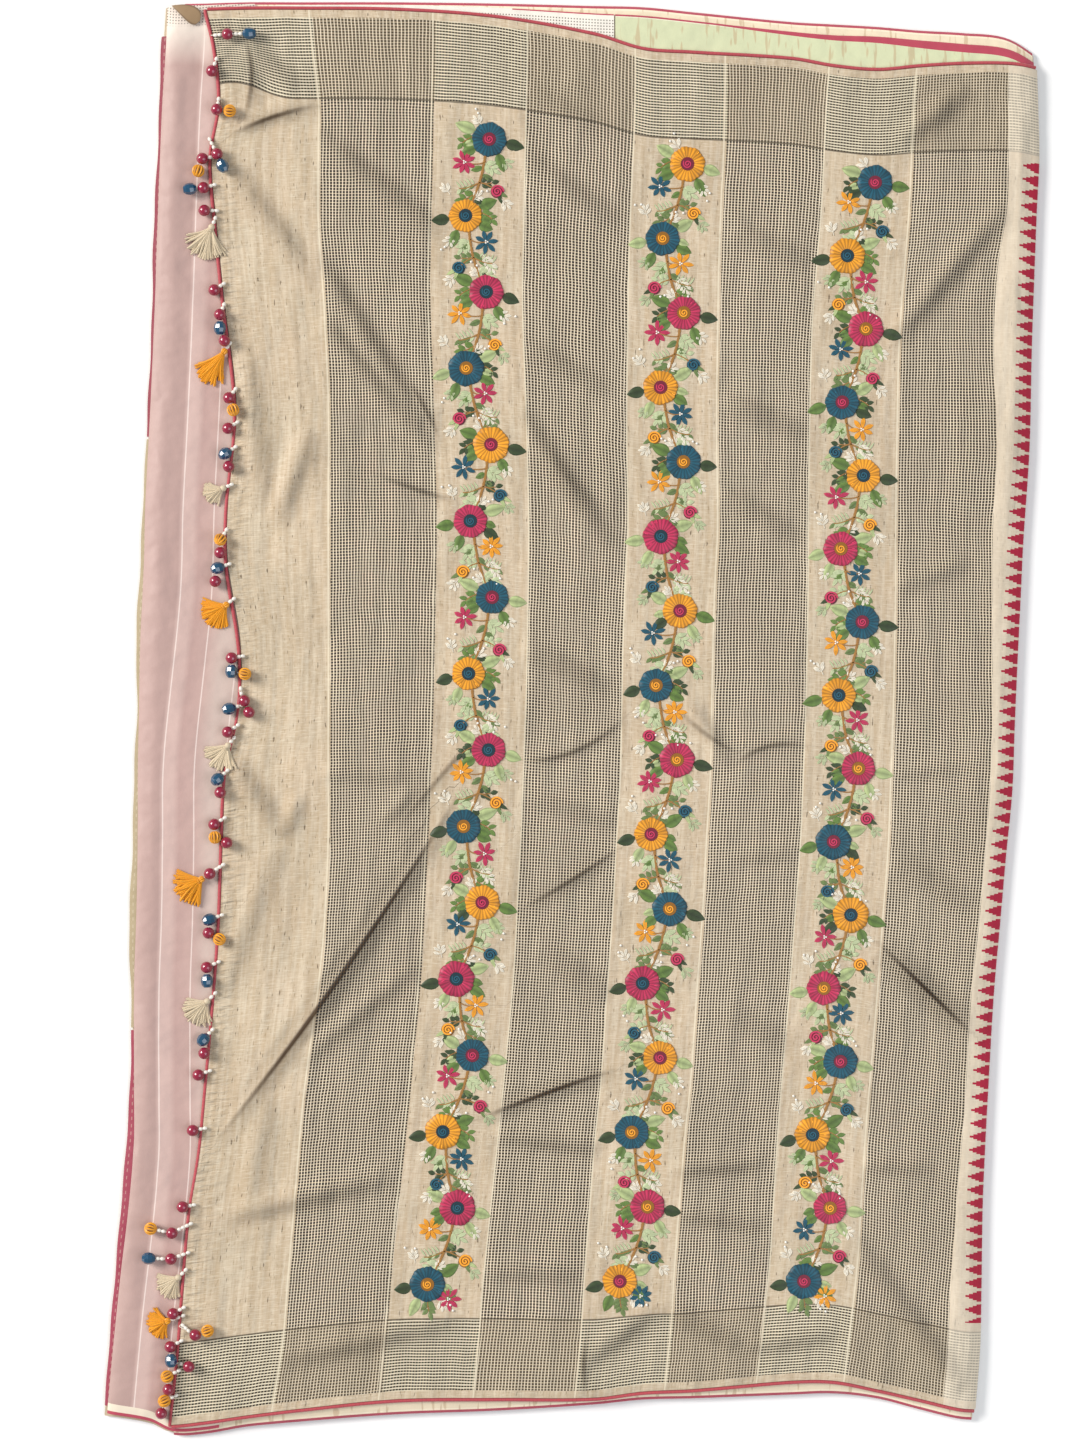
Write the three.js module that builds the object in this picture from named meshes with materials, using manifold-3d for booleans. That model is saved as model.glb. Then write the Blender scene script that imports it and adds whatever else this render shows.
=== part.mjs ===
// A silk saree folded into a flat stack and laid on a table, its decorated end piece on top.
// Millimetres, +Z up, the table at z = 0. +Y points to the upper selvedge, +X to the fold.
import * as THREE from 'three';
import Module from 'manifold-3d';
import { mergeVertices } from 'three/addons/utils/BufferGeometryUtils.js';

const wasm = await Module();
wasm.setup();

// ---- driving sizes ----
const CENTRE = { x: 1.6, y: 1.5 };   // middle of the stack in the tables below
const SPAN = { low: -575, high: 575 };   // selvedge to selvedge
const LENGTH = SPAN.high - SPAN.low;
const SEAM = 0.3;           // clearance between neighbouring pieces
const PLY = 1.2;            // a visible stretch of cloth
const END_PLY = 1.4;        // the end piece, thick with its embroidery
const STACK_HEIGHT = 11.5;  // underside of the end piece above the table
const EDGE_HEIGHT = 6.8;    // the same at the outline of the stack
const FOLD_DROP = 1.6;      // how much lower the cloth turns down at the fold
const ROLL = 16;            // width over which the stack rounds down to its outline
const GROOVE = 1.1;         // depth of the grooves between the hidden layers at the edge
const HIDDEN_LEVELS = [0.76, 0.52, 0.27, 0];   // edges and grooves down the side, share of height
const INSET = 1.5;          // how far the hidden layers stay inside the outline
const UNDER = 0.8;          // top of the pink, check and mint stretches below the end piece
const LOWER = 2.5;          // top of the plies under those stretches
const REST = 1.2;           // slack between a stretch and the hidden layers under it
const LIPS = [4, 10, 17];   // stations beside an edge, where the cloth rounds down
const PINK_TUCK = 40;       // how far the pink stretch runs under the end piece
const TOP_TUCK = 65;        // width of the stretches along the upper selvedge
const BOTTOM_TUCK = 45;     // width of the ply along the lower selvedge
const RAMP = 15;            // width over which the hidden layers step up beside a stretch
const LEFT_PLY_WIDTH = 11;  // folded edges under the pink stretch
const CREAM_EDGE = -312;    // where the cream ply, the check and the mint stretch start
const CHECK_EDGE = -241;
const MINT_EDGE = 37.5;
const EDGING = { width: 2.9, height: 1.9, lip: 1.2, inside: 1.5 };
const THREAD = 1.0;

// Left and right sides, upper selvedge first: y, outermost ply, pink stretch, free end of the
// end piece, middles of its three embroidered bands, fold.
const SIDES = [
  { y: 575, outline: -329, pink: -326, free: -295, vine1: -72, vine2: 90, vine3: 246, fold: 379 },
  { y: 545, outline: -331, pink: -327, free: -288, vine1: -72, vine2: 90, vine3: 244, fold: 380 },
  { y: 500, outline: -333, pink: -330, free: -284, vine1: -73, vine2: 89, vine3: 242, fold: 381 },
  { y: 455, outline: -335, pink: -332, free: -291, vine1: -74, vine2: 87, vine3: 240, fold: 379 },
  { y: 400, outline: -337, pink: -334, free: -287, vine1: -75, vine2: 85, vine3: 236, fold: 377 },
  { y: 340, outline: -339, pink: -336, free: -281, vine1: -76, vine2: 84, vine3: 232, fold: 375 },
  { y: 250, outline: -342, pink: -340, free: -271, vine1: -73, vine2: 83, vine3: 230, fold: 373 },
  { y: 170, outline: -347, pink: -344, free: -278, vine1: -71, vine2: 84, vine3: 229, fold: 368 },
  { y: 125, outline: -348, pink: -345, free: -278, vine1: -71, vine2: 82, vine3: 229, fold: 366 },
  { y: 60, outline: -352, pink: -348, free: -268, vine1: -72, vine2: 80, vine3: 228, fold: 363 },
  { y: 10, outline: -351, pink: -349, free: -268, vine1: -73, vine2: 79, vine3: 227, fold: 361 },
  { y: -45, outline: -353, pink: -350, free: -279, vine1: -75, vine2: 78, vine3: 225, fold: 359 },
  { y: -100, outline: -355, pink: -350, free: -282, vine1: -77, vine2: 75, vine3: 223, fold: 354 },
  { y: -160, outline: -357, pink: -351, free: -284, vine1: -80, vine2: 72, vine3: 219, fold: 349 },
  { y: -220, outline: -356, pink: -353, free: -288, vine1: -83, vine2: 68, vine3: 215, fold: 344 },
  { y: -310, outline: -357, pink: -353, free: -296, vine1: -91, vine2: 62, vine3: 208, fold: 339 },
  { y: -350, outline: -360, pink: -353, free: -300, vine1: -95, vine2: 58, vine3: 205, fold: 337 },
  { y: -400, outline: -365, pink: -357, free: -308, vine1: -100, vine2: 54, vine3: 202, fold: 335 },
  { y: -470, outline: -370, pink: -365, free: -314, vine1: -107, vine2: 49, vine3: 198, fold: 334 },
  { y: -520, outline: -375, pink: -370, free: -318, vine1: -111, vine2: 46, vine3: 193, fold: 333 },
  { y: -575, outline: -379, pink: -375, free: -324, vine1: -116, vine2: 41, vine3: 187, fold: 329 },
];

// Upper and lower selvedges, left to right: x, outermost ply, stretch under the end piece, end
// piece at the top, end piece and outermost ply at the bottom.
const SELVEDGES = [
  { x: -375, top: 576, upper: 572, endTop: 576, endBottom: -572, bottom: -566 },
  { x: -340, top: 578, upper: 575, endTop: 576, endBottom: -572, bottom: -572 },
  { x: -322, top: 582, upper: 578, endTop: 576, endBottom: -572, bottom: -580 },
  { x: -295, top: 583, upper: 580, endTop: 577, endBottom: -569, bottom: -579 },
  { x: -260, top: 584, upper: 581, endTop: 578, endBottom: -564, bottom: -573 },
  { x: -220, top: 584, upper: 582, endTop: 578, endBottom: -559, bottom: -569 },
  { x: -140, top: 584, upper: 582, endTop: 577, endBottom: -551, bottom: -563 },
  { x: -60, top: 583, upper: 580, endTop: 571, endBottom: -550, bottom: -560 },
  { x: 20, top: 581, upper: 575, endTop: 557, endBottom: -550, bottom: -555 },
  { x: 60, top: 580, upper: 573, endTop: 545, endBottom: -545, bottom: -551 },
  { x: 100, top: 576, upper: 569, endTop: 542, endBottom: -543, bottom: -550 },
  { x: 180, top: 568, upper: 560, endTop: 537, endBottom: -536, bottom: -547 },
  { x: 215, top: 566, upper: 557, endTop: 531, endBottom: -536, bottom: -546 },
  { x: 250, top: 564, upper: 556, endTop: 528, endBottom: -543, bottom: -550 },
  { x: 285, top: 561, upper: 553, endTop: 531, endBottom: -551, bottom: -559 },
  { x: 320, top: 559, upper: 550, endTop: 533, endBottom: -559, bottom: -567 },
  { x: 355, top: 555, upper: 546, endTop: 533, endBottom: -562, bottom: -568 },
  { x: 381, top: 540, upper: 534, endTop: 530, endBottom: -563, bottom: -568 },
];

// Broad soft waves of the stack: from, to, half width, rise.
const WAVES = [
  { x0: -200, y0: 420, x1: -110, y1: 255, width: 60, rise: 1.4 },
  { x0: -40, y0: 280, x1: 50, y1: 130, width: 65, rise: 1.2 },
  { x0: -90, y0: -60, x1: -262, y1: -314, width: 55, rise: 1.4 },
  { x0: 35, y0: -280, x1: -75, y1: -325, width: 50, rise: 1.2 },
  { x0: 250, y0: -180, x1: 335, y1: -262, width: 62, rise: -1.6 },
  { x0: 290, y0: 390, x1: 350, y1: 240, width: 60, rise: 1.1 },
  { x0: -265, y0: -48, x1: -200, y1: -40, width: 40, rise: 1.2 },
  { x0: 230, y0: -480, x1: 235, y1: -545, width: 45, rise: 1.1 },
  { x0: 80, y0: 40, x1: 200, y1: -30, width: 60, rise: 1.0 },
  { x0: -340, y0: -360, x1: -300, y1: -470, width: 34, rise: 1.3 },
  { x0: -322, y0: 200, x1: -318, y1: -120, width: 26, rise: 1.0 },
];

// Sharp creases pressed into the end piece: start, middle, end, width, rise.
const CREASES = [
  { x0: -92, y0: -64, x1: -186, y1: -208, x2: -283, y2: -337, width: 9, rise: 2.2 },
  { x0: -76, y0: -15, x1: -98, y1: -38, x2: -138, y2: -86, width: 5, rise: 1.0 },
  { x0: 39, y0: -104, x1: 5, y1: -127, x2: -36, y2: -151, width: 7, rise: 1.5 },
  { x0: 34, y0: -283, x1: -16, y1: -300, x2: -73, y2: -322, width: 8, rise: 2.0 },
  { x0: -34, y0: -32, x1: 6, y1: -24, x2: 44, y2: 1, width: 5, rise: 1.1 },
  { x0: -153, y0: 198, x1: -122, y1: 187, x2: -95, y2: 179, width: 5, rise: 0.9 },
  { x0: -130, y0: 276, x1: -116, y1: 252, x2: -105, y2: 228, width: 5, rise: 0.9 },
  { x0: 190, y0: -20, x1: 160, y1: -21, x2: 137, y2: -34, width: 5, rise: 1.0 },
  { x0: 90, y0: 7, x1: 114, y1: -13, x2: 134, y2: -25, width: 5, rise: 0.9 },
  { x0: 251, y0: -180, x1: 290, y1: -218, x2: 325, y2: -252, width: 9, rise: 1.8 },
  { x0: 14, y0: -500, x1: 12, y1: -520, x2: 13, y2: -542, width: 6, rise: 1.2 },
  { x0: -270, y0: 476, x1: -242, y1: 488, x2: -206, y2: 498, width: 8, rise: 2.0 },
  { x0: -262, y0: 552, x1: -257, y1: 522, x2: -262, y2: 492, width: 7, rise: 1.6 },
];

// The three vines: first rosette from the top, distance from rosette to rosette.
const VINES = [
  { column: 'vine1', first: 471, pitch: 61.8 },
  { column: 'vine2', first: 451, pitch: 60.3 },
  { column: 'vine3', first: 436, pitch: 59.3 },
];
const ROSETTES = 16;
const ROSETTE = { radius: 14.2, crown: 11, rise: 1.0, sunk: 0.56, sway: 9, sides: 7 };

// Folded edges that stand out from under the pink stretch on the left: from, to.
const LEFT_PLIES = [
  { name: 'crimson_fold_upper', high: 556, low: 231, color: 0x8f3142 },
  { name: 'taupe_fold_middle', high: 229, low: -249, color: 0xa39478 },
  { name: 'crimson_fold_lower', high: -251, low: -556, color: 0xb14a62 },
];

// Bead radii, mm: C crimson glass, T teal glass, Y ball wound with yellow thread.
const BEAD = { C: 4.8, T: 5.6, Y: 5.2 };
const GAP_MARK = 7;         // bare thread for each '-' in a string of beads
const BEAD_GAP = 0.5;
const TASSEL = { head: 2.9, strands: 8, strand: 1.4 };

// Drops on the free end, from the top: place on the edging, heading in degrees from +X, bare
// thread, turn at each bead, string of beads, tassel length and spread in degrees.
const DROPS = [
  { y: 555, heading: 1, lead: 9, turn: 0, beads: 'C-T' },
  { y: 533, heading: 250, lead: 3, turn: 0, beads: 'C' },
  { y: 500, heading: 262, lead: 1, turn: 92, beads: 'CY' },
  { y: 468, heading: 297, lead: 6, turn: -2, beads: 'CT' },
  { y: 456, heading: 190, lead: 1, turn: 62, beads: 'CY' },
  { y: 433, heading: 196, lead: 1, turn: -10, beads: 'CT' },
  { y: 413, heading: 180, lead: 2, turn: 0, beads: 'C' },
  { y: 404, heading: 248, lead: 2, turn: 0, beads: '', tassel: 27, spread: 74 },
  { y: 352, heading: 215, lead: 1, turn: 0, beads: 'C' },
  { y: 334, heading: 250, lead: 1, turn: 20, beads: 'CTC' },
  { y: 303, heading: 235, lead: 2, turn: 0, beads: '', tassel: 30, spread: 42 },
  { y: 266, heading: 235, lead: 1, turn: 55, beads: 'CY' },
  { y: 240, heading: 215, lead: 1, turn: 0, beads: 'C' },
  { y: 220, heading: 215, lead: 1, turn: 70, beads: 'TC' },
  { y: 190, heading: 205, lead: 1, turn: 0, beads: '', tassel: 17, spread: 60 },
  { y: 152, heading: 240, lead: 1, turn: 28, beads: 'YC' },
  { y: 126, heading: 200, lead: 1, turn: 60, beads: 'TC' },
  { y: 97, heading: 218, lead: 2, turn: 0, beads: '', tassel: 22, spread: 84 },
  { y: 52, heading: 190, lead: 1, turn: 80, beads: 'CTY' },
  { y: 24, heading: 300, lead: 4, turn: -8, beads: 'CC' },
  { y: 12, heading: 196, lead: 2, turn: 40, beads: 'T' },
  { y: -5, heading: 215, lead: 2, turn: 0, beads: 'C' },
  { y: -16, heading: 232, lead: 2, turn: 0, beads: '', tassel: 22, spread: 88 },
  { y: -42, heading: 222, lead: 2, turn: 60, beads: 'TC' },
  { y: -80, heading: 212, lead: 2, turn: 62, beads: 'CYC' },
  { y: -118, heading: 214, lead: 5, turn: 0, beads: 'C', tassel: 24, spread: 92 },
  { y: -158, heading: 200, lead: 2, turn: 66, beads: 'TCY' },
  { y: -196, heading: 205, lead: 3, turn: 68, beads: 'CT' },
  { y: -222, heading: 226, lead: 4, turn: 0, beads: '', tassel: 22, spread: 84 },
  { y: -252, heading: 228, lead: 2, turn: 46, beads: 'TC' },
  { y: -284, heading: 200, lead: 2, turn: 0, beads: 'C' },
  { y: -330, heading: 190, lead: 2, turn: 0, beads: 'C' },
  { y: -392, heading: 190, lead: 1, turn: 0, beads: 'C' },
  { y: -408, heading: 206, lead: 9, turn: -38, beads: 'C-Y' },
  { y: -431, heading: 200, lead: 7, turn: -22, beads: 'C-T' },
  { y: -446, heading: 226, lead: 3, turn: 0, beads: '', tassel: 20, spread: 76 },
  { y: -476, heading: 210, lead: 2, turn: 0, beads: 'C' },
  { y: -482, heading: 200, lead: 8, turn: 0, beads: '', tassel: 17, spread: 96 },
  { y: -503, heading: 208, lead: 2, turn: 66, beads: 'CT' },
  { y: -527, heading: 206, lead: 2, turn: 70, beads: 'YC' },
  { y: -547, heading: 204, lead: 2, turn: 52, beads: 'YC' },
  { y: -490, heading: 335, lead: 10, turn: 44, beads: 'CY' },
  { y: -520, heading: 350, lead: 6, turn: 0, beads: 'C' },
];

// Corner of cloth turned up beside the end piece: its lower and upper edges.
const CORNER = {
  lower: { x0: -322, y0: 577, x1: -301, y1: 563 },
  upper: { x0: -320, y0: 582, x1: -300, y1: 578 },
};

const SILK = {
  crimson: 0xb83350, check: 0xb9aa8e, pink: 0xcdaba8, mint: 0xd3dbb8, cream: 0xe4d8c2,
  taupe: 0xa08866, layers: 0xd8c8b0,
};
const BEAD_COLOR = 0x9c1c40;
const TASSEL_COLOR = 0xdfa02c;

const clamp = (value) => Math.min(1, Math.max(0, value));
const mix = (a, b, t) => a + (b - a) * t;

// A column of a table, read smoothly between its rows.
function read(rows, key, column, at) {
  const down = rows[0][key] > rows[rows.length - 1][key];
  const ordered = down ? [...rows].reverse() : rows;
  let i = 0;
  while (i < ordered.length - 2 && at > ordered[i + 1][key]) i++;
  const before = ordered[Math.max(0, i - 1)];
  const start = ordered[i];
  const end = ordered[i + 1];
  const after = ordered[Math.min(ordered.length - 1, i + 2)];
  const span = end[key] - start[key];
  const t = clamp((at - start[key]) / span);
  const inSlope = (end[column] - before[column]) / (end[key] - before[key]) * span;
  const outSlope = (after[column] - start[column]) / (after[key] - start[key]) * span;
  return (2 * t ** 3 - 3 * t ** 2 + 1) * start[column] + (t ** 3 - 2 * t ** 2 + t) * inSlope
    + (3 * t ** 2 - 2 * t ** 3) * end[column] + (t ** 3 - t ** 2) * outSlope;
}
const side = (column, y) => read(SIDES, 'y', column, y);
const selvedge = (column, x) => read(SELVEDGES, 'x', column, x);

// How far (x, y) is from a wave's centre line, mm.
function away(wave, x, y) {
  const dx = wave.x1 - wave.x0;
  const dy = wave.y1 - wave.y0;
  const t = clamp(((x - wave.x0) * dx + (y - wave.y0) * dy) / (dx * dx + dy * dy));
  return Math.hypot(x - wave.x0 - dx * t, y - wave.y0 - dy * t);
}

// Underside of the end piece, which every other level is measured from.
function level(x, y) {
  const roll = (distance) => Math.sin(clamp(distance / ROLL) * Math.PI / 2);
  const fold = roll(side('fold', y) - x);
  const inside = roll(x - side('outline', y)) * roll(selvedge('top', x) - y)
    * roll(y - selvedge('bottom', x)) * fold;
  let height = STACK_HEIGHT;
  for (const wave of WAVES) {
    const near = clamp(1 - away(wave, x, y) / wave.width);
    height += wave.rise * Math.sin(near * Math.PI / 2) ** 2;
  }
  return EDGE_HEIGHT + (height - EDGE_HEIGHT) * inside - FOLD_DROP * (1 - fold);
}

// Evenly spaced fractions, and fractions of a length that crowd beside both its ends.
const even = (count) => Array.from({ length: count + 1 }, (_, i) => i / count);

function crowded(length, count, lips) {
  const first = Math.max(...lips) / length;
  const marks = even(count).map((t) => mix(first, 1 - first, t)).slice(1, -1);
  for (const lip of lips) marks.push(lip / length, 1 - lip / length);
  return [0, 1, ...marks].sort((a, b) => a - b);
}

function solid(points, faces) {
  const geometry = new THREE.BufferGeometry();
  geometry.setAttribute('position', new THREE.Float32BufferAttribute(points.flat(), 3));
  geometry.setIndex(faces);
  return geometry;
}

// A wall of cloth over a grid: place(u, v) gives x, y, underside and top of each station.
function wall(across, along, place) {
  const points = [];
  const faces = [];
  const columns = across.length;
  const rows = along.length;
  for (const skin of [2, 3]) {
    for (const v of along) {
      for (const u of across) {
        const spot = place(u, v);
        points.push([spot[0], spot[1], spot[skin]]);
      }
    }
  }
  const upper = columns * rows;
  const quad = (a, b, c, d) => faces.push(a, b, c, a, c, d);
  for (let j = 0; j < rows - 1; j++) {
    for (let i = 0; i < columns - 1; i++) {
      const a = j * columns + i;
      quad(upper + a, upper + a + 1, upper + a + columns + 1, upper + a + columns);
      quad(a, a + columns, a + columns + 1, a + 1);
    }
  }
  for (let i = 0; i < columns - 1; i++) {
    const far = (rows - 1) * columns + i;
    quad(i, i + 1, upper + i + 1, upper + i);
    quad(far + 1, far, upper + far, upper + far + 1);
  }
  for (let j = 0; j < rows - 1; j++) {
    const near = j * columns;
    const far = near + columns - 1;
    quad(near + columns, near, upper + near, upper + near + columns);
    quad(far, far + columns, upper + far + columns, upper + far);
  }
  return solid(points, faces);
}

// ---- joining closed shapes ----
function toManifold(geometry) {
  const bare = geometry.clone();
  bare.deleteAttribute('normal');
  bare.deleteAttribute('uv');
  const merged = mergeVertices(bare, 1e-4);
  return new wasm.Manifold(new wasm.Mesh({
    numProp: 3,
    vertProperties: Float32Array.from(merged.attributes.position.array),
    triVerts: Uint32Array.from(merged.index.array),
  }));
}

function joined(geometries) {
  let whole = toManifold(geometries[0]);
  for (const geometry of geometries.slice(1)) whole = whole.add(toManifold(geometry));
  const mesh = whole.getMesh();
  const geometry = new THREE.BufferGeometry();
  geometry.setAttribute('position', new THREE.Float32BufferAttribute(mesh.vertProperties, 3));
  geometry.setIndex([...mesh.triVerts]);
  return geometry;
}

// A closed prism through sections of three points each.
function threeSided(sections) {
  const faces = [];
  for (let i = 0; i < sections.length - 1; i++) {
    for (let k = 0; k < 3; k++) {
      const a = i * 3 + k;
      const b = i * 3 + (k + 1) % 3;
      faces.push(a, b + 3, b, a, a + 3, b + 3);
    }
  }
  const end = (sections.length - 1) * 3;
  faces.push(0, 1, 2, end, end + 2, end + 1);
  return solid(sections.flat(), faces);
}

// ---- hidden layers: one rounded solid with the layers' edges grooved into its sides ----
// How far the top of the hidden layers lies below the end piece's underside: one step down
// under each stretch that shows beyond the end piece, and another under the ply below it.
function depth(x, y) {
  const ramp = (distance, start, width) => clamp((start + width - distance) / width);
  const underPink = ramp(x - side('free', y), PINK_TUCK + 8, 2 * RAMP);
  const underTop = ramp(selvedge('top', x) - y, TOP_TUCK + 5, RAMP);
  const underBottom = ramp(y - selvedge('bottom', x), BOTTOM_TUCK + 5, RAMP);
  const leftEdge = ramp(x - side('outline', y), LEFT_PLY_WIDTH + 3, RAMP);
  return REST + (UNDER + PLY - SEAM) * Math.max(underPink, underTop, underBottom)
    + (LOWER - UNDER) * Math.max(leftEdge, underTop, underBottom * underPink);
}

function hiddenLayers() {
  const width = side('fold', 0) - side('outline', 0);
  const steps = [2.5, 8, 14, 26, 53, 84, 105].map((inward) => inward / width);
  const across = [0, ...steps];
  for (const t of even(11)) across.push(mix(120 / width, 1 - 17.5 / width, t));
  across.push(1 - 10 / width, 1 - 4 / width, 1);
  const along = crowded(LENGTH, 15, [...LIPS, 50, 68, 86]);
  const points = [];
  const faces = [];
  for (const v of along) {
    for (const u of across) {
      const guess = mix(SPAN.low, SPAN.high, v);
      const x = mix(side('outline', guess) + INSET, side('fold', guess) - INSET, u);
      const y = mix(selvedge('bottom', x) + INSET, selvedge('top', x) - INSET, v);
      points.push([x, y, level(x, y) - depth(x, y)]);
    }
  }
  const columns = across.length;
  const rows = along.length;
  for (let j = 0; j < rows - 1; j++) {
    for (let i = 0; i < columns - 1; i++) {
      const a = j * columns + i;
      faces.push(a, a + 1, a + columns + 1, a, a + columns + 1, a + columns);
    }
  }
  // The rim, counter-clockwise from the lower left corner, with the way that each point faces.
  const last = columns - 1;
  const far = (rows - 1) * columns;
  const rim = [];
  for (let i = 0; i < last; i++) rim.push([i, i ? 0 : -1, -1]);
  for (let j = 0; j < rows - 1; j++) rim.push([j * columns + last, 1, j ? 0 : -1]);
  for (let i = last; i > 0; i--) rim.push([far + i, i < last ? 0 : 1, 1]);
  for (let j = rows - 1; j > 0; j--) rim.push([j * columns, -1, j < rows - 1 ? 0 : 1]);
  let above = rim.map(([index]) => index);
  HIDDEN_LEVELS.forEach((share, k) => {
    const proud = (k % 2 ? -GROOVE : 0) - (share ? 0 : SEAM);
    const ring = rim.map(([index, outX, outY]) => {
      const [x, y, z] = points[index];
      return points.push([x + outX * proud, y + outY * proud, z * share]) - 1;
    });
    ring.forEach((lower, i) => {
      const next = (i + 1) % ring.length;
      faces.push(above[i], lower, ring[next], above[i], ring[next], above[next]);
    });
    above = ring;
  });
  const outline = above.map((index) => new THREE.Vector2(points[index][0], points[index][1]));
  for (const [a, b, c] of THREE.ShapeUtils.triangulateShape(outline, [])) {
    faces.push(above[a], above[c], above[b]);
  }
  return solid(points, faces);
}

// ---- end piece: wall with its pressed creases and the thick embroidered rosettes ----
const END_ACROSS = [...even(16).slice(0, -1), 0.975, 0.986, 0.9945, 1];
const END_ALONG = crowded(LENGTH, 24, [5, 12]);

function endSpot(u, v) {
  const guess = mix(SPAN.low, SPAN.high, v);
  const x = mix(side('free', guess) + EDGING.inside + SEAM, side('fold', guess), u);
  const low = selvedge('endBottom', x) + EDGING.inside + SEAM;
  const high = selvedge('endTop', x) - EDGING.inside - SEAM;
  return [x, mix(low, high, v)];
}

// A ridge of triangular section along a curve, its foot sunk into the cloth.
function ridge(crease) {
  const control = new THREE.Vector2(
    2 * crease.x1 - (crease.x0 + crease.x2) / 2,
    2 * crease.y1 - (crease.y0 + crease.y2) / 2,
  );
  const start = new THREE.Vector2(crease.x0, crease.y0);
  const end = new THREE.Vector2(crease.x2, crease.y2);
  const curve = new THREE.QuadraticBezierCurve(start, control, end);
  const steps = Math.max(2, Math.round(curve.getLength() / 45));
  return threeSided(even(steps).map((t) => {
    const spot = curve.getPoint(t);
    const way = curve.getTangent(t);
    const swell = mix(0.25, 1, Math.sin(Math.PI * t));
    const foot = (shift) => {
      const x = spot.x - way.y * shift;
      const y = spot.y + way.x * shift;
      return [x, y, level(x, y) + END_PLY / 2];
    };
    const half = crease.width / 2 * swell;
    const crest = level(spot.x, spot.y) + END_PLY + crease.rise * swell;
    return [foot(half), foot(-half), [spot.x, spot.y, crest]];
  }));
}

// Embroidered rosettes sway to either side of the vine's middle.
function rosette(vine, k) {
  const y = vine.first - vine.pitch * k;
  const x = side(vine.column, y) + (k % 2 ? -ROSETTE.sway : ROSETTE.sway);
  const height = ROSETTE.sunk + ROSETTE.rise;
  const disc = new THREE.CylinderGeometry(ROSETTE.crown, ROSETTE.radius, height, ROSETTE.sides, 1);
  disc.rotateX(Math.PI / 2);
  return disc.translate(x, y, level(x, y) + END_PLY - ROSETTE.sunk + height / 2);
}

function endPiece() {
  const cloth = wall(END_ACROSS, END_ALONG, (u, v) => {
    const [x, y] = endSpot(u, v);
    const z = level(x, y);
    return [x, y, z, z + END_PLY];
  });
  const rosettes = VINES.flatMap((vine) => even(ROSETTES - 1).map((_, k) => rosette(vine, k)));
  return joined([cloth, ...CREASES.map(ridge), ...rosettes]);
}

// ---- edging: a narrow rounded crimson binding round the end piece ----
const BINDING = [0, 0.5, 1];
const bindingTop = (share) => (share === 0.5 ? EDGING.height : EDGING.lip);

function endEdging() {
  return wall(BINDING, END_ALONG, (u, v) => {
    const [edge, height] = endSpot(0, v);
    const x = edge - SEAM - EDGING.width * (1 - u);
    const past = v === 0 || v === 1 ? EDGING.inside * Math.sign(v - 0.5) : 0;
    const z = level(x, height + past);
    return [x, height + past, z, z + bindingTop(u)];
  });
}

function selvedgeEdging(end) {
  return wall(END_ACROSS, BINDING, (u, v) => {
    const [x, edge] = endSpot(u, end);
    const y = end ? edge + SEAM + EDGING.width * v : edge - SEAM - EDGING.width * (1 - v);
    const z = level(x, y);
    return [x, y, z, z + bindingTop(v)];
  });
}

// ---- stretches that show round the end piece ----
// A station of a stretch whose top lies a given depth under the end piece.
function plySpot(x, y, drop) {
  const top = level(x, y) - drop;
  return [x, y, top - PLY, top];
}

function pinkStretch() {
  const across = [0, 0.04, 0.1, 0.17, 0.38, 0.65, 1];
  return wall(across, crowded(LENGTH, 22, LIPS), (u, v) => {
    const guess = mix(SPAN.low, SPAN.high, v);
    const x = mix(side('pink', guess), side('free', guess) + PINK_TUCK, u);
    return plySpot(x, mix(selvedge('bottom', x) + 4, selvedge('top', x) - 2, v), UNDER);
  });
}

// Places along a selvedge, close together where the stretch nears the fold.
const towardsFold = (from, to, count) => [
  ...even(count).map((t) => mix(from, to - LIPS[2], t)), to - LIPS[1], to - LIPS[0], to,
];

function topStretch(column, marks, drop) {
  return wall(marks, [0, 0.5, 0.8, 0.92, 1], (x, v) => {
    const y = mix(selvedge('top', x) - TOP_TUCK, selvedge(column, x) - 1, v);
    return plySpot(x, y, drop);
  });
}

// The ply along the lower selvedge dips under the pink stretch at its left end.
function bottomPly() {
  const marks = towardsFold(side('free', SPAN.low) + 3, side('fold', SPAN.low) - 2, 22);
  return wall(marks, [0, 0.09, 0.22, 0.38, 1], (x, v) => {
    const y = selvedge('bottom', x) + BOTTOM_TUCK * v;
    const clear = clamp((x - side('free', y) - PINK_TUCK - 12) / (2 * RAMP));
    return plySpot(x, y, mix(LOWER + SEAM, UNDER, clear));
  });
}

function leftPly(ply) {
  return wall([0, 0.4, 1], even(12), (u, v) => {
    const y = mix(ply.low, ply.high, v);
    return plySpot(side('outline', y) + LEFT_PLY_WIDTH * u, y, LOWER);
  });
}

function turnedCorner() {
  const along = (edge, u) => [mix(edge.x0, edge.x1, u), mix(edge.y0, edge.y1, u)];
  return wall(BINDING, BINDING, (u, v) => {
    const [lowX, lowY] = along(CORNER.lower, u);
    const [highX, highY] = along(CORNER.upper, u);
    return plySpot(mix(lowX, highX, v), mix(lowY, highY, v), UNDER - PLY - SEAM);
  });
}

// ---- drops: beads and tassels on short threads along the free end ----
// Top of the cloth or edging at a point.
function clothTop(x, y) {
  const edge = side('free', y);
  if (x < edge + EDGING.inside - EDGING.width - 0.2) return level(x, y) - UNDER;
  if (x < edge + EDGING.inside + 0.2) return level(x, y) + EDGING.height;
  return level(x, y) + END_PLY;
}

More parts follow.
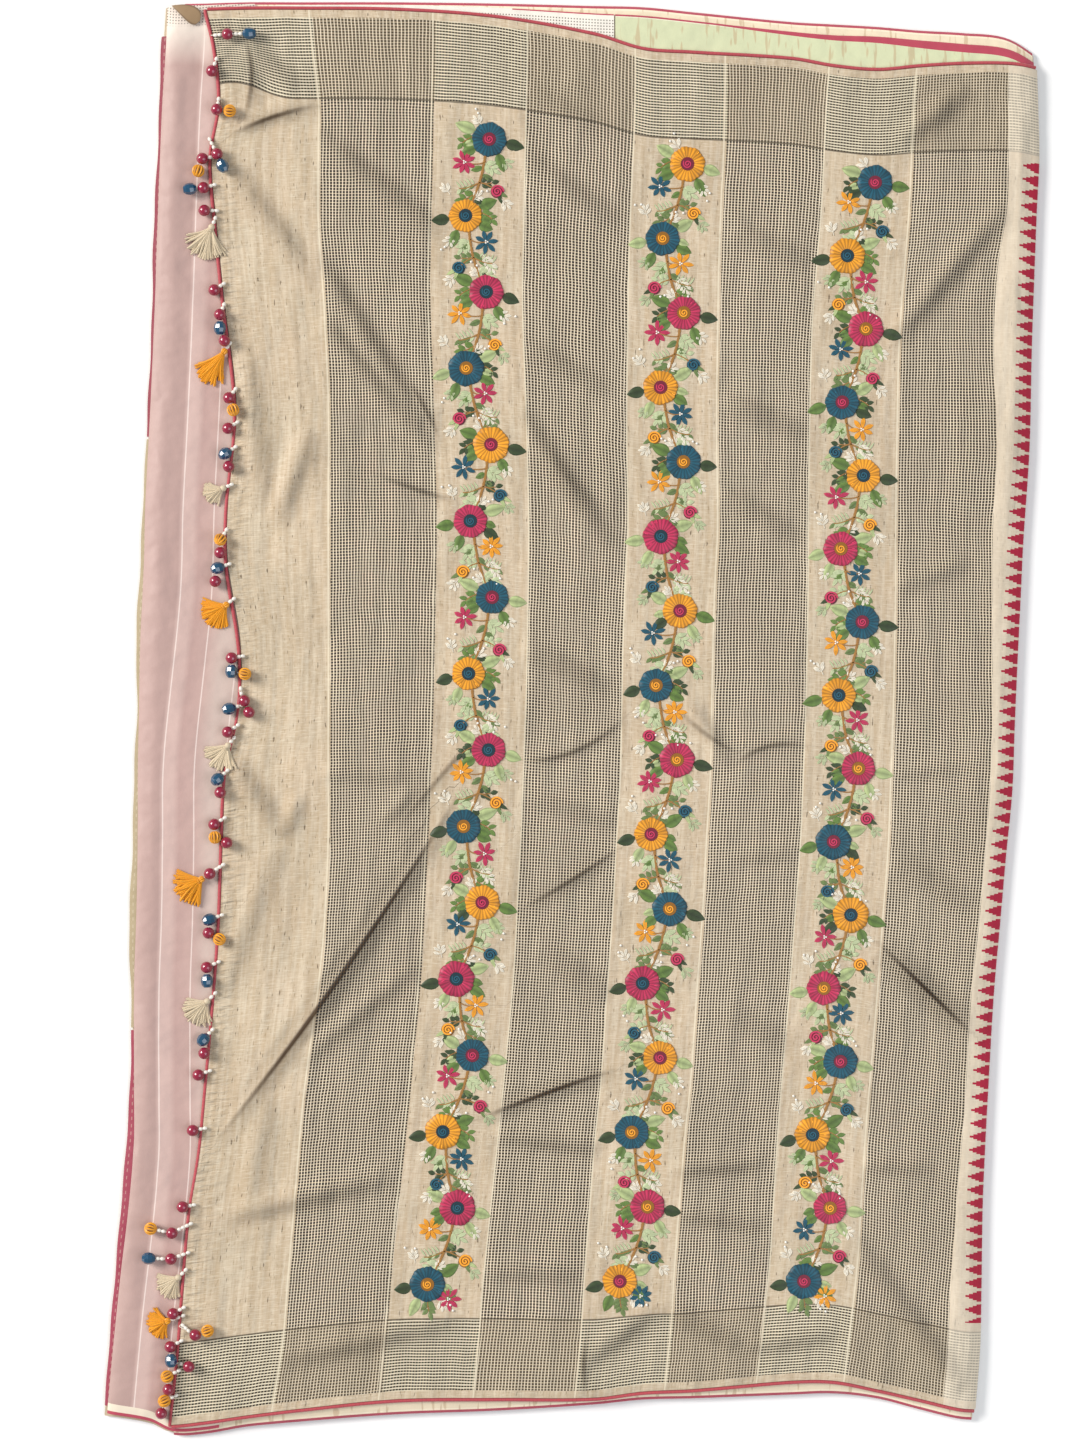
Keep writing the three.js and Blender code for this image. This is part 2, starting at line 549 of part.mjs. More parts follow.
// Height at which a ball lies on the cloth, wherever it touches first.
function restHeight(x, y, radius) {
  let height = clothTop(x, y) + radius;
  for (const turn of even(12)) {
    for (const share of [0.35, 0.7, 0.95]) {
      const reach = radius * share;
      const angle = turn * 2 * Math.PI;
      const under = clothTop(x + reach * Math.cos(angle), y + reach * Math.sin(angle));
      height = Math.max(height, under + Math.sqrt(radius ** 2 - reach ** 2));
    }
  }
  return height + 2 * SEAM;
}

function thread(from, to) {
  const rod = new THREE.CylinderGeometry(THREAD / 2, THREAD / 2, from.distanceTo(to), 3, 1);
  const up = new THREE.Vector3(0, 1, 0);
  const way = to.clone().sub(from).normalize();
  rod.applyQuaternion(new THREE.Quaternion().setFromUnitVectors(up, way));
  const middle = from.clone().add(to).multiplyScalar(0.5);
  return rod.translate(middle.x, middle.y, middle.z);
}

// One strand: three-sided, lying on the cloth, from the tassel's head to its cut end.
function strand(start, heading, length, bend) {
  const shares = [0.05, 0.5, 1];
  let turn = heading;
  let x = start.x;
  let y = start.y;
  return threeSided(shares.map((share, i) => {
    const before = i ? shares[i - 1] : 0;
    turn += i ? bend * (share - before) : 0;
    x += Math.cos(turn) * (share - before) * length;
    y += Math.sin(turn) * (share - before) * length;
    const half = TASSEL.strand / 2 * (i ? 1 : 0.45);
    const sideX = -Math.sin(turn) * half;
    const sideY = Math.cos(turn) * half;
    const cloth = [-3, 0, 3].map((reach) => clothTop(x + sideX * reach, y + sideY * reach));
    const foot = i ? Math.max(...cloth) + 1.5 * SEAM : start.z;
    return [
      [x + sideX, y + sideY, foot], [x - sideX, y - sideY, foot], [x, y, foot + TASSEL.strand],
    ];
  }));
}

// Where a ball of the string comes to lie, and the ball there.
function next(last, heading, reach, radius) {
  const x = last.x + Math.cos(heading) * (reach + radius);
  const y = last.y + Math.sin(heading) * (reach + radius);
  const spot = new THREE.Vector3(x, y, restHeight(x, y, radius));
  const ball = new THREE.OctahedronGeometry(radius, 1).translate(spot.x, spot.y, spot.z);
  return { spot, pieces: [ball, thread(last, spot)] };
}

function drop(row) {
  const pieces = [];
  const edge = side('free', row.y);
  let heading = THREE.MathUtils.degToRad(row.heading);
  let reach = row.lead;
  let last = new THREE.Vector3(edge, row.y, level(edge, row.y) + EDGING.height + THREAD);
  for (const kind of row.beads) {
    if (kind === '-') {
      reach += GAP_MARK;
      continue;
    }
    const bead = next(last, heading, reach, BEAD[kind]);
    pieces.push(...bead.pieces);
    last = bead.spot;
    reach = BEAD[kind] + BEAD_GAP;
    heading += THREE.MathUtils.degToRad(row.turn);
  }
  if (row.tassel) {
    const head = next(last, heading, reach, TASSEL.head);
    pieces.push(...head.pieces);
    const spread = THREE.MathUtils.degToRad(row.spread);
    even(TASSEL.strands - 1).forEach((share, i) => {
      const length = row.tassel * (i % 2 ? 0.9 : 1);
      const turn = (share - 0.5) * spread;
      pieces.push(strand(head.spot, heading + turn, length, (share - 0.5) * 0.4));
    });
  }
  return joined(pieces);
}

// ---- the part ----
const group = new THREE.Group();

function add(name, geometry, color, roughness) {
  const material = new THREE.MeshStandardMaterial({ color, roughness, metalness: 0 });
  const mesh = new THREE.Mesh(geometry, material);
  mesh.name = name;
  mesh.position.set(-CENTRE.x, -CENTRE.y, 0);
  group.add(mesh);
}

const topFold = side('fold', selvedge('upper', SPAN.high)) - 3;
const creamMarks = towardsFold(CREAM_EDGE, topFold, 20);
const checkMarks = even(9).map((t) => mix(CHECK_EDGE, MINT_EDGE - 1, t));
const mintMarks = towardsFold(MINT_EDGE, topFold, 10);
add('folded_layers', hiddenLayers(), SILK.layers, 0.8);
for (const ply of LEFT_PLIES) add(ply.name, leftPly(ply), ply.color, 0.75);
add('cream_top_ply', topStretch('top', creamMarks, LOWER), SILK.cream, 0.75);
add('cream_bottom_ply', bottomPly(), SILK.cream, 0.75);
add('pink_stretch', pinkStretch(), SILK.pink, 0.7);
add('check_stretch', topStretch('upper', checkMarks, UNDER), SILK.check, 0.75);
add('mint_stretch', topStretch('upper', mintMarks, UNDER), SILK.mint, 0.7);
add('turned_corner', turnedCorner(), SILK.taupe, 0.75);
add('end_piece', endPiece(), SILK.check, 0.75);
add('edging_free_end', endEdging(), SILK.crimson, 0.6);
add('edging_upper_selvedge', selvedgeEdging(1), SILK.crimson, 0.6);
add('edging_lower_selvedge', selvedgeEdging(0), SILK.crimson, 0.6);
DROPS.forEach((row, i) => {
  const name = `drop_${String(i + 1).padStart(2, '0')}`;
  if (row.tassel) add(name, drop(row), TASSEL_COLOR, 0.8);
  else add(name, drop(row), BEAD_COLOR, 0.2);
});

export default group;
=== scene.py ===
# A tussar silk saree folded into a flat pack on a table, its embroidered end piece on top.
# Tables and sizes are in millimetres, meshes in metres. +Y points to the upper selvedge and +X
# to the fold; each table's numbers are measured from a mark near the middle of the pack.
import math
import random
import bpy
import numpy as np
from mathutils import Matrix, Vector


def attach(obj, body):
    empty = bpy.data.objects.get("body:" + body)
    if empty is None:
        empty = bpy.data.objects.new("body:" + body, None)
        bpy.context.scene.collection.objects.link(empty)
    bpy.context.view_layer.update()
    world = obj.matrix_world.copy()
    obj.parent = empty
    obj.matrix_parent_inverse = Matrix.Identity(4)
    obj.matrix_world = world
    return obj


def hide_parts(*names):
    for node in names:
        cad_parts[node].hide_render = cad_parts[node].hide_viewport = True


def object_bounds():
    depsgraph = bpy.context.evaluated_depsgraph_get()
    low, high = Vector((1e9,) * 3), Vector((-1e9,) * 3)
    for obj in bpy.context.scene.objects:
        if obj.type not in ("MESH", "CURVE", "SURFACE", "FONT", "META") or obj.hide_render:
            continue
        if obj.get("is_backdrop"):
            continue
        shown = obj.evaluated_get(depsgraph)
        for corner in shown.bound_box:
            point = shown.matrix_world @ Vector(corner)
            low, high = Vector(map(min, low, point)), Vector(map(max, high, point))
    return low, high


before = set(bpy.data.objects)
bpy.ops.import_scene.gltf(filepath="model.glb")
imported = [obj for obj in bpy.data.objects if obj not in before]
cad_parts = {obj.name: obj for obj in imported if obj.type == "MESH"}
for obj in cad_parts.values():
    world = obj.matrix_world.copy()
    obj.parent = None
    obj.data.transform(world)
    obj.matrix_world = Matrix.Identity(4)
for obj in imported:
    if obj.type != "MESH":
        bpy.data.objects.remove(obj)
cad_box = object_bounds()

# ---- Table top, camera and light ----
# A matt white laminate table top, one large window and a pale room round it. The camera hangs
# straight above the pack on a long lens.
MM = 0.001


def linear(code):
    """A colour given as sRGB hex digits, as the linear values that a shader takes."""
    parts = [int(code[i:i + 2], 16) / 255 for i in (0, 2, 4)]
    return [c / 12.92 if c <= 0.04045 else ((c + 0.055) / 1.055) ** 2.4 for c in parts] + [1.0]


def new_material(name, roughness, specular, sheen=0.0):
    """An empty material with its shader; node() then adds to the tree that is being drawn."""
    global tree, shader
    material = bpy.data.materials.new(name)
    material.use_nodes = True
    tree = material.node_tree
    shader = tree.nodes["Principled BSDF"]
    shader.inputs["Roughness"].default_value = roughness
    shader.inputs["Specular IOR Level"].default_value = specular
    shader.inputs["Sheen Weight"].default_value = sheen
    return material


def node(kind, *inputs, out=0, **settings):
    """One node; a kind in capitals is a Math node's operation. Its inputs come in order: sockets
    are linked, hex digits turned into a colour, other values set and None left alone."""
    if kind.isupper():
        kind, settings["operation"] = "Math", kind
    made = tree.nodes.new("ShaderNode" + kind)
    for name, value in settings.items():
        setattr(made, name, value)
    for socket, value in zip(made.inputs, inputs):
        if isinstance(value, bpy.types.NodeSocket):
            tree.links.new(value, socket)
        elif value is not None:
            socket.default_value = linear(value) if isinstance(value, str) else value
    return made.outputs[out]


LENS = 85.0
SENSOR = 36.0
FRAME_HEIGHT = 1173.0
FOCUS_HEIGHT = 12.0
SIGHT = (-22.7, -3.9)
bpy.ops.object.select_all(action="DESELECT")
bpy.ops.object.camera_add(rotation=(0, 0, 0))
camera = bpy.context.object
camera.location = (SIGHT[0] * MM, SIGHT[1] * MM,
                   (FRAME_HEIGHT * LENS / SENSOR + FOCUS_HEIGHT) * MM)
camera.data.lens = LENS
camera.data.sensor_fit = "VERTICAL"
camera.data.sensor_height = SENSOR
camera.data.clip_end = 50
bpy.context.scene.camera = camera
bpy.context.scene.view_settings.view_transform = "Standard"

world = bpy.data.worlds.new("pale room")
bpy.context.scene.world = world
world.use_nodes = True
world.node_tree.nodes["Background"].inputs[0].default_value = linear("F6F8FA")
world.node_tree.nodes["Background"].inputs[1].default_value = 0.42

for name, spot, size, power, tint in (
    ("window", (-5.7, 2.3, 4.0), 3.0, 620, "FFFBF6"),
    ("room light", (1.7, -0.7, 2.6), 2.4, 44, "F4F8FF"),
):
    bpy.ops.object.light_add(type="AREA", location=spot)
    light = bpy.context.object
    light.name = name
    light.data.size = size
    light.data.energy = power
    light.data.color = linear(tint)[:3]
    x, y, z = spot
    light.rotation_euler = (math.atan2(math.hypot(x, y), z), 0, math.atan2(y, x) + math.pi / 2)

bpy.ops.mesh.primitive_plane_add(size=12, location=(0, 0, -0.6 * MM))
table_top = bpy.context.object
table_top.name = "table_top"
laminate = new_material("white laminate, matt", 0.7, 0.2)
grain = node("TexNoise", node("TexCoord", out=3), None, 900.0)
shader.inputs["Base Color"].default_value = linear("F7F7F6")
tree.links.new(node("MapRange", grain, 0.0, 1.0, 0.66, 0.74), shader.inputs["Roughness"])
table_top.data.materials.append(laminate)
table_top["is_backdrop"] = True

# ---- Hidden layers ----
# The folded body of the saree: silk layers that lie on each other, each with a crimson line
# woven along its selvedge. Only their edges show, loosely stacked and not quite in line.
CENTRE = (1.6, 1.5)
LOW, HIGH = -575.0, 575.0
LENGTH = HIGH - LOW
PLY = 1.2
PLY_ROOM = 1.7
END_PLY = 1.4
STACK_HEIGHT = 11.5
EDGE_HEIGHT = 6.8
FOLD_DROP = 1.6
ROLL = 16.0
# how far in from its edge each stretch reaches, and the step beyond it
UNDER = {"pink": 78, "top": 85, "bottom": 65, "left": 29}
SLOPE = 15

# y, outermost ply, pink stretch, free end, start of the check, middles of the three vines,
# start of the temple border, fold
SIDES = (
    ("y", "outline", "pink", "free", "check", "vine1", "vine2", "vine3", "temple", "fold"),
    (575, -329, -326, -295, -211, -72, 90, 246, 356, 379),
    (545, -331, -327, -288, -208, -72, 90, 244, 356, 380),
    (500, -333, -330, -284, -203, -73, 89, 242, 356, 381),
    (455, -335, -332, -291, -203, -74, 87, 240, 355, 379),
    (400, -337, -334, -287, -203, -75, 85, 236, 347, 377),
    (340, -339, -336, -281, -199, -76, 84, 232, 344, 375),
    (250, -342, -340, -271, -195, -73, 83, 230, 346, 373),
    (170, -347, -344, -278, -195, -71, 84, 229, 343, 368),
    (125, -348, -345, -278, -195, -71, 82, 229, 343, 366),
    (60, -352, -348, -268, -195, -72, 80, 228, 343, 363),
    (10, -351, -349, -268, -195, -73, 79, 227, 343, 361),
    (-45, -353, -350, -279, -195, -75, 78, 225, 341, 359),
    (-100, -355, -350, -282, -195, -77, 75, 223, 337, 354),
    (-160, -357, -351, -284, -197, -80, 72, 219, 332, 349),
    (-220, -356, -353, -288, -202, -83, 68, 215, 326, 344),
    (-310, -357, -353, -296, -214, -91, 62, 208, 321, 339),
    (-350, -360, -353, -300, -218, -95, 58, 205, 318, 337),
    (-400, -365, -357, -308, -222, -100, 54, 202, 314, 335),
    (-470, -370, -365, -314, -228, -107, 49, 198, 309, 334),
    (-520, -375, -370, -318, -232, -111, 46, 193, 307, 333),
    (-575, -379, -375, -324, -241, -116, 41, 187, 303, 329),
)
# x, outermost ply, stretch under the end piece and end piece at the top, end piece and
# outermost ply at the bottom
SELVEDGES = (
    ("x", "top", "upper", "end_top", "end_bottom", "bottom"),
    (-375, 576, 572, 576, -572, -566), (-340, 578, 575, 576, -572, -572),
    (-322, 582, 578, 576, -572, -580), (-295, 583, 580, 577, -569, -579),
    (-260, 584, 581, 578, -564, -573), (-220, 584, 582, 578, -559, -569),
    (-140, 584, 582, 577, -551, -563), (-60, 583, 580, 571, -550, -560),
    (20, 581, 575, 557, -550, -555), (60, 580, 573, 545, -545, -551),
    (100, 576, 569, 542, -543, -550), (180, 568, 560, 537, -536, -547),
    (215, 566, 557, 531, -536, -546), (250, 564, 556, 528, -543, -550),
    (285, 561, 553, 531, -551, -559), (320, 559, 550, 533, -559, -567),
    (355, 555, 546, 533, -562, -568), (381, 540, 534, 530, -563, -568),
)
# broad soft waves of the whole pack: from, to, half width, rise
WAVES = (
    (-200, 420, -110, 255, 60, 1.4), (-40, 280, 50, 130, 65, 1.2),
    (-90, -60, -262, -314, 55, 1.4), (35, -280, -75, -325, 50, 1.2),
    (250, -180, 335, -262, 62, -1.6), (290, 390, 350, 240, 60, 1.1),
    (-265, -48, -200, -40, 40, 1.2), (230, -480, 235, -545, 45, 1.1),
    (80, 40, 200, -30, 60, 1.0), (-340, -360, -300, -470, 34, 1.3),
    (-322, 200, -318, -120, 26, 1.0),
)


def curves(rows):
    """Each column of a table, ready to be read smoothly between its rows."""
    body = np.array(sorted(rows[1:]), float)
    key = body[:, 0]
    made = {}
    for i, name in enumerate(rows[0][1:], 1):
        value = body[:, i]
        slope = np.empty_like(value)
        slope[1:-1] = (value[2:] - value[:-2]) / (key[2:] - key[:-2])
        slope[0] = (value[1] - value[0]) / (key[1] - key[0])
        slope[-1] = (value[-1] - value[-2]) / (key[-1] - key[-2])
        made[name] = (key, value, slope)
    return made


def read(curve, place):
    """A smooth curve through a column's values, read at a place."""
    key, value, slope = curve
    i = np.clip(np.searchsorted(key, place) - 1, 0, len(key) - 2)
    span = key[i + 1] - key[i]
    t = np.clip((place - key[i]) / span, 0, 1)
    return ((2 * t ** 3 - 3 * t ** 2 + 1) * value[i] + (t ** 3 - 2 * t ** 2 + t) * slope[i] * span
            + (3 * t ** 2 - 2 * t ** 3) * value[i + 1] + (t ** 3 - t ** 2) * slope[i + 1] * span)


side_curves = curves(SIDES)
selvedge_curves = curves(SELVEDGES)


def side(name, y):
    """x of a line that runs up the pack."""
    return read(side_curves[name], y)


def selvedge(name, x):
    """y of a line that runs across the pack."""
    return read(selvedge_curves[name], x)


def mix(a, b, t):
    return a + (b - a) * t


def hump(distance, width):
    """1 on a line, falling softly to 0 at a width from it."""
    return np.sin(np.clip(1 - distance / width, 0, 1) * math.pi / 2) ** 2


def away(x, y, x0, y0, x1, y1):
    """How far a place is from a straight line between two points, and how far along it."""
    dx, dy = x1 - x0, y1 - y0
    t = np.clip(((x - x0) * dx + (y - y0) * dy) / (dx * dx + dy * dy), 0, 1)
    return np.hypot(x - x0 - dx * t, y - y0 - dy * t), t


def level(x, y):
    """Underside of the end piece, which every other level is measured from."""
    fold = np.sin(np.clip((side("fold", y) - x) / ROLL, 0, 1) * math.pi / 2)
    inside = fold
    for distance in (x - side("outline", y), selvedge("top", x) - y, y - selvedge("bottom", x)):
        inside = inside * np.sin(np.clip(distance / ROLL, 0, 1) * math.pi / 2)
    height = STACK_HEIGHT + 0 * x
    for x0, y0, x1, y1, width, rise in WAVES:
        height = height + rise * hump(away(x, y, x0, y0, x1, y1)[0], width)
    return EDGE_HEIGHT + (height - EDGE_HEIGHT) * inside - FOLD_DROP * (1 - fold)


def depth(x, y):
    """Top of the hidden layers below that: lower under each stretch that shows beyond it."""
    under_pink = np.clip((UNDER["pink"] - x + side("free", y)) / (2 * SLOPE), 0, 1)
    under_top = np.clip((UNDER["top"] - selvedge("top", x) + y) / SLOPE, 0, 1)
    under_bottom = np.clip((UNDER["bottom"] - y + selvedge("bottom", x)) / SLOPE, 0, 1)
    left_edge = np.clip((UNDER["left"] - x + side("outline", y)) / SLOPE, 0, 1)
    stretch = np.maximum(np.maximum(under_pink, under_top), under_bottom)
    ply = np.maximum(np.maximum(left_edge, under_top), under_bottom * under_pink)
    return PLY + PLY_ROOM * (stretch + ply)


def cloth_piece(name, points, faces, material, corners=None, shares=None, wall=0.0, nodes=()):
    """A piece from points in millimetres: corners give the cloth coordinates at each face's
    corners, shares three facts about each point that its material reads."""
    mesh = bpy.data.meshes.new(name)
    placed = (np.asarray(points, float) - (CENTRE[0], CENTRE[1], 0)) * MM
    mesh.from_pydata(placed.tolist(), [], faces)
    for kind, domain, values in (("cloth", "CORNER", corners), ("share", "POINT", shares)):
        if values is not None:
            values = np.asarray(values, np.float32)
            mesh.attributes.new(kind, "FLOAT_VECTOR", domain).data.foreach_set(
                "vector", values.ravel())
    piece = bpy.data.objects.new(name, mesh)
    bpy.context.scene.collection.objects.link(piece)
    mesh.materials.append(material)
    mesh.validate()
    bpy.ops.object.select_all(action="DESELECT")
    piece.select_set(True)
    bpy.context.view_layer.objects.active = piece
    if wall:
        shell = piece.modifiers.new("wall", "SOLIDIFY")
        shell.thickness = wall * MM
        shell.offset = -1
        bpy.ops.object.modifier_apply(modifier="wall")
    bpy.ops.object.shade_smooth_by_angle(angle=math.radians(50))
    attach(piece, "root")
    if nodes:
        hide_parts(*nodes)
    return piece


def grid_faces(columns, rows):
    """Quads over a grid of points that is stored row by row, facing up."""
    a = (np.arange(rows - 1)[:, None] * columns + np.arange(columns - 1)).ravel()
    return np.stack([a, a + 1, a + columns + 1, a + columns], 1).tolist()


INSET = 1.5
LAYER_LIPS = 3
LIP_STEPS = 5
LIP_DEPTH = 1.3
across = np.concatenate([np.linspace(0, 0.17, 13), np.linspace(0.2, 0.96, 28),
                         np.linspace(0.972, 1, 5)])
along = np.concatenate([np.linspace(0, 0.08, 9), np.linspace(0.09, 0.91, 84),
                        np.linspace(0.92, 1, 9)])
u, v = np.meshgrid(across, along)
guess = mix(LOW, HIGH, v)
x = mix(side("outline", guess) + INSET, side("fold", guess) - INSET, u)
y = mix(selvedge("bottom", x) + INSET, selvedge("top", x) - INSET, v)
top = np.stack([x, y, level(x, y) - depth(x, y)], -1).reshape(-1, 3)
columns, rows = len(across), len(along)
rim = ([(i, 0, -1) for i in range(columns - 1)]
       + [(j * columns + columns - 1, 1, 0) for j in range(rows - 1)]
       + [((rows - 1) * columns + i, 0, 1) for i in range(columns - 1, 0, -1)]
       + [(j * columns, -1, 0) for j in range(rows - 1, 0, -1)])
points = [top]
faces = grid_faces(columns, rows)
shares = [np.tile((9.0, 0.0, 0.0), (len(top), 1))]
index = np.array([r[0] for r in rim])
outward = np.array([r[1:] for r in rim], float)
ring = index.copy()
turn = np.arange(len(rim)) / len(rim) * 2 * math.pi
selvedge_side = np.abs(outward[:, 1])
steps = LAYER_LIPS * LIP_STEPS
# each ring's share: which layer, whether its edge is a selvedge, distance from its middle
for k in range(1, steps + 1):
    lip, place = divmod(k, LIP_STEPS)
    bulge = -LIP_DEPTH * (1 - math.sin(math.pi * place / LIP_STEPS) ** 0.7)
    drift = 0.45 * np.sin(turn * (9 + 4 * lip) + 2.1 * lip) + 0.3 * np.sin(turn * 23 + lip)
    lower = top[index].copy()
    lower[:, :2] += outward * (bulge + drift * (place > 0) - 0.5)[:, None]
    lower[:, 2] *= 1 - k / steps
    start = sum(len(p) for p in points)
    points.append(lower)
    shares.append(np.stack([np.full(len(rim), lip + place / LIP_STEPS), selvedge_side,
                            np.full(len(rim), abs(place / LIP_STEPS - 0.5))], 1))
    new = np.arange(len(rim)) + start
    for i in range(len(rim)):
        j = (i + 1) % len(rim)
        faces.append([int(ring[i]), int(new[i]), int(new[j]), int(ring[j])])
    ring = new
faces.append([int(i) for i in ring[::-1]])


def mottled(base, amount, noise, dark):
    """A colour that darkens toward a tone where a noise runs low."""
    return node("MixRGB", amount, base, node("MixRGB", noise, dark, "FFFFFF"),
                blend_type="MULTIPLY")


# Plain woven silk, dull at its cut and folded edges. Each layer has its own shade, and at the
# selvedges a crimson line.
layers_silk = new_material("silk layers, edges", 0.75, 0.2, 0.2)
layer = node("SeparateXYZ", node("Attribute", out=1, attribute_name="share"))
at_selvedge, from_middle = layer.node.outputs[1], layer.node.outputs[2]
shade = node("ValToRGB", node("DIVIDE", layer, 4.0))
ramp = shade.node.color_ramp
ramp.interpolation = "CONSTANT"
ramp.elements[0].color = linear("D9C9AE")
ramp.elements[1].position = 0.75
ramp.elements[1].color = linear("CDBBA0")
for place, code in ((0.25, "CFAEA9"), (0.5, "CDD3B2")):
    ramp.elements.new(place).color = linear(code)
line = node("MULTIPLY", node("GREATER_THAN", at_selvedge, 0.9),
            node("LESS_THAN", from_middle, 0.32))
colour = node("MixRGB", line, shade, "B23A52")
threads = node("TexNoise", node("TexCoord", out=3), None, 700.0, 2.0)
tree.links.new(mottled(colour, 0.35, threads, "8E7F68"), shader.inputs["Base Color"])
tree.links.new(node("Bump", 0.3, 0.0002, None, threads), shader.inputs["Normal"])
cloth_piece("folded_silk_layers", np.concatenate(points), faces, layers_silk,
            shares=np.concatenate(shares), nodes=["folded_layers"])

# ---- Doubled edges at the left and plies at the selvedges ----
# The body of the saree shows as narrow strips round the pack: a crimson border folded double
# above and below a slubby taupe one, and cream plies that end in a crimson selvedge.
PLY_UNDER = 2.5
UPPER_HIDDEN, LOWER_HIDDEN = 65, 45


def laid(name, us, vs, place, material, nodes, wall=0.9):
    """A stretch of cloth: place(u, v) gives x, y, z and the two cloth coordinates."""
    u, v = np.meshgrid(us, vs)
    x, y, z, s, t = (part + 0 * u for part in place(u, v))
    columns, rows = len(us), len(vs)
    faces = grid_faces(columns, rows)
    cloth = np.stack([s.ravel(), t.ravel(), 0 * s.ravel()], 1)[np.array(faces).ravel()]
    piece = cloth_piece(name, np.stack([x, y, z], -1).reshape(-1, 3), faces, material,
                        corners=cloth, wall=wall, nodes=nodes)


def drawn_out(space, stretch, *detail):
    """Noise drawn out along one axis: its scale, detail and roughness follow."""
    return node("TexNoise", node("Mapping", space, None, None, stretch), None, *detail)


def repeat(value, pitch):
    """Where a place lies in its repeat, from 0 to 1."""
    return node("FRACT", node("MULTIPLY", value, 1 / pitch))


def apart(value, middle):
    return node("ABSOLUTE", node("SUBTRACT", value, middle))


def silk(name, code, roughness=0.55, sheen=0.25):
    """Plain woven silk: its colour so far, both cloth coordinates and the threads' relief."""
    material = new_material(name, roughness, 0.3, sheen)
    spot = node("TexCoord", out=3)
    cloth = node("SeparateXYZ", node("Attribute", out=1, attribute_name="cloth"))
    weave = drawn_out(spot, (3.0, 1.0, 1.0), 260.0 / 0.7, 2.0, 0.6)
    base = mottled(code, 0.12, weave, "6E5F4C")
    base = mottled(base, 0.10, node("TexNoise", spot, None, 14.0, 2.0), "8A7C70")
    return material, base, cloth, cloth.node.outputs[1], weave


def finish(base, weave, strength=0.35, depth_mm=0.2, crumple=0.5):
    """Colour, threads and the soft crumple of the whole cloth."""
    tree.links.new(base, shader.inputs["Base Color"])
    bump = node("Bump", strength, depth_mm * MM, None, weave)
    rucks = node("TexNoise", node("TexCoord", out=3), None, 38.0, 2.0)
    tree.links.new(node("Bump", crumple, 0.006, None, rucks, bump), shader.inputs["Normal"])


LEFT_WIDTH = 11
STITCH = 6.0
LEFT_PLIES = (
    ("crimson_fold_upper", 556, 231, "8A2F40", "crimson_silk"),
    ("taupe_fold_middle", 229, -249, "A89879", "taupe_silk"),
    ("crimson_fold_lower", -251, -556, "98384C", "crimson_silk"),
)
for name, high, low, code, slot in LEFT_PLIES:
    material, base, across, along, weave = silk("folded border silk, " + name, code)
    # running stitches in cream cotton show along the fold
    dash = node("LESS_THAN", repeat(along, STITCH), 0.45)
    row = node("LESS_THAN", apart(across, 3.0), 0.4)
    dash = node("MULTIPLY", node("MULTIPLY", dash, row), 0.22)
    finish(node("MixRGB", dash, base, "E8DDC6"), weave)

    def place(u, v, low=low, high=high):
        y = mix(low, high, v)
        sway = 0.5 * np.sin(y / 23) + 0.35 * np.sin(y / 9.1 + 1)
        x = side("outline", y) + LEFT_WIDTH * u + sway * (1 - u)
        turned = 0.9 * (1 - np.clip(u / 0.16, 0, 1)) ** 2
        return x, y, level(x, y) - PLY_UNDER - turned, LEFT_WIDTH * u, y

    laid("left_" + name, (0, 0.05, 0.11, 0.2, 0.5, 1), np.linspace(0, 1, 90), place, material,
         [name])


def selvedge_silk(name, code, edge, wider, strip, cream):
    """Silk with a crimson selvedge: the edge line, wider at the fold, then a strip beside it."""
    material, base, across, along, weave = silk(name, code)
    base = node("MixRGB", node("LESS_THAN", along, strip), base, cream)
    ticks = drawn_out(node("TexCoord", out=3), (6.0, 1.0, 1.0), 45.0, 1.0)
    base = node("MixRGB", node("MapRange", ticks, 0.34, 0.4, 0.5, 0.0), base, "B79670")
    line = node("LESS_THAN", along, node("MapRange", across, 120.0, 300.0, edge, wider))
    finish(node("MixRGB", line, base, "B24456"), weave)
    return material


cream_silk = selvedge_silk("cream silk with a crimson selvedge", "EFDFC2", 2.4, 2.4, 4.0, "F2E3C8")
marks = np.linspace(0, 1, 150)


def top_ply(u, v):
    x = mix(-312, side("fold", 557.0) - 3, u)
    y = mix(selvedge("top", x) - UPPER_HIDDEN, selvedge("top", x), v)
    turned = 0.8 * np.clip((v - 0.97) / 0.03, 0, 1) ** 2
    return x, y, level(x, y) - PLY_UNDER - turned, x, selvedge("top", x) - y


def bottom_ply(u, v):
    x = mix(side("free", LOW) + 3, side("fold", LOW) - 2, u)
    y = selvedge("bottom", x) + LOWER_HIDDEN * v
    clear = np.clip((x - side("free", y) - 52) / 30, 0, 1)
    drop = mix(2.8, 0.8, clear) + 0.8 * np.clip(1 - v / 0.04, 0, 1) ** 2
    return x, y, level(x, y) - drop, x, y - selvedge("bottom", x)


laid("cream_ply_upper_selvedge", marks, (0, 0.3, 0.6, 0.75, 0.85, 0.93, 0.97, 1), top_ply,
     cream_silk, ["cream_top_ply"])
laid("cream_ply_lower_selvedge", marks, (0, 0.04, 0.1, 0.18, 0.3, 0.6, 1), bottom_ply,
     cream_silk, ["cream_bottom_ply"])

# ---- Pink, check and mint stretches ----
# The body's woven colours where they show beyond the end piece: dusty pink with cream lines
# along the left, open white check and mint under the upper selvedge, each edged in crimson.


def open_check(across, along, pitch=2.4):
    """Dots of dark weft on an open white check."""
    dot = 1.0
    for part in (across, along):
        dot = node("MULTIPLY", dot, node("GREATER_THAN", repeat(part, pitch), 0.55))
    return dot


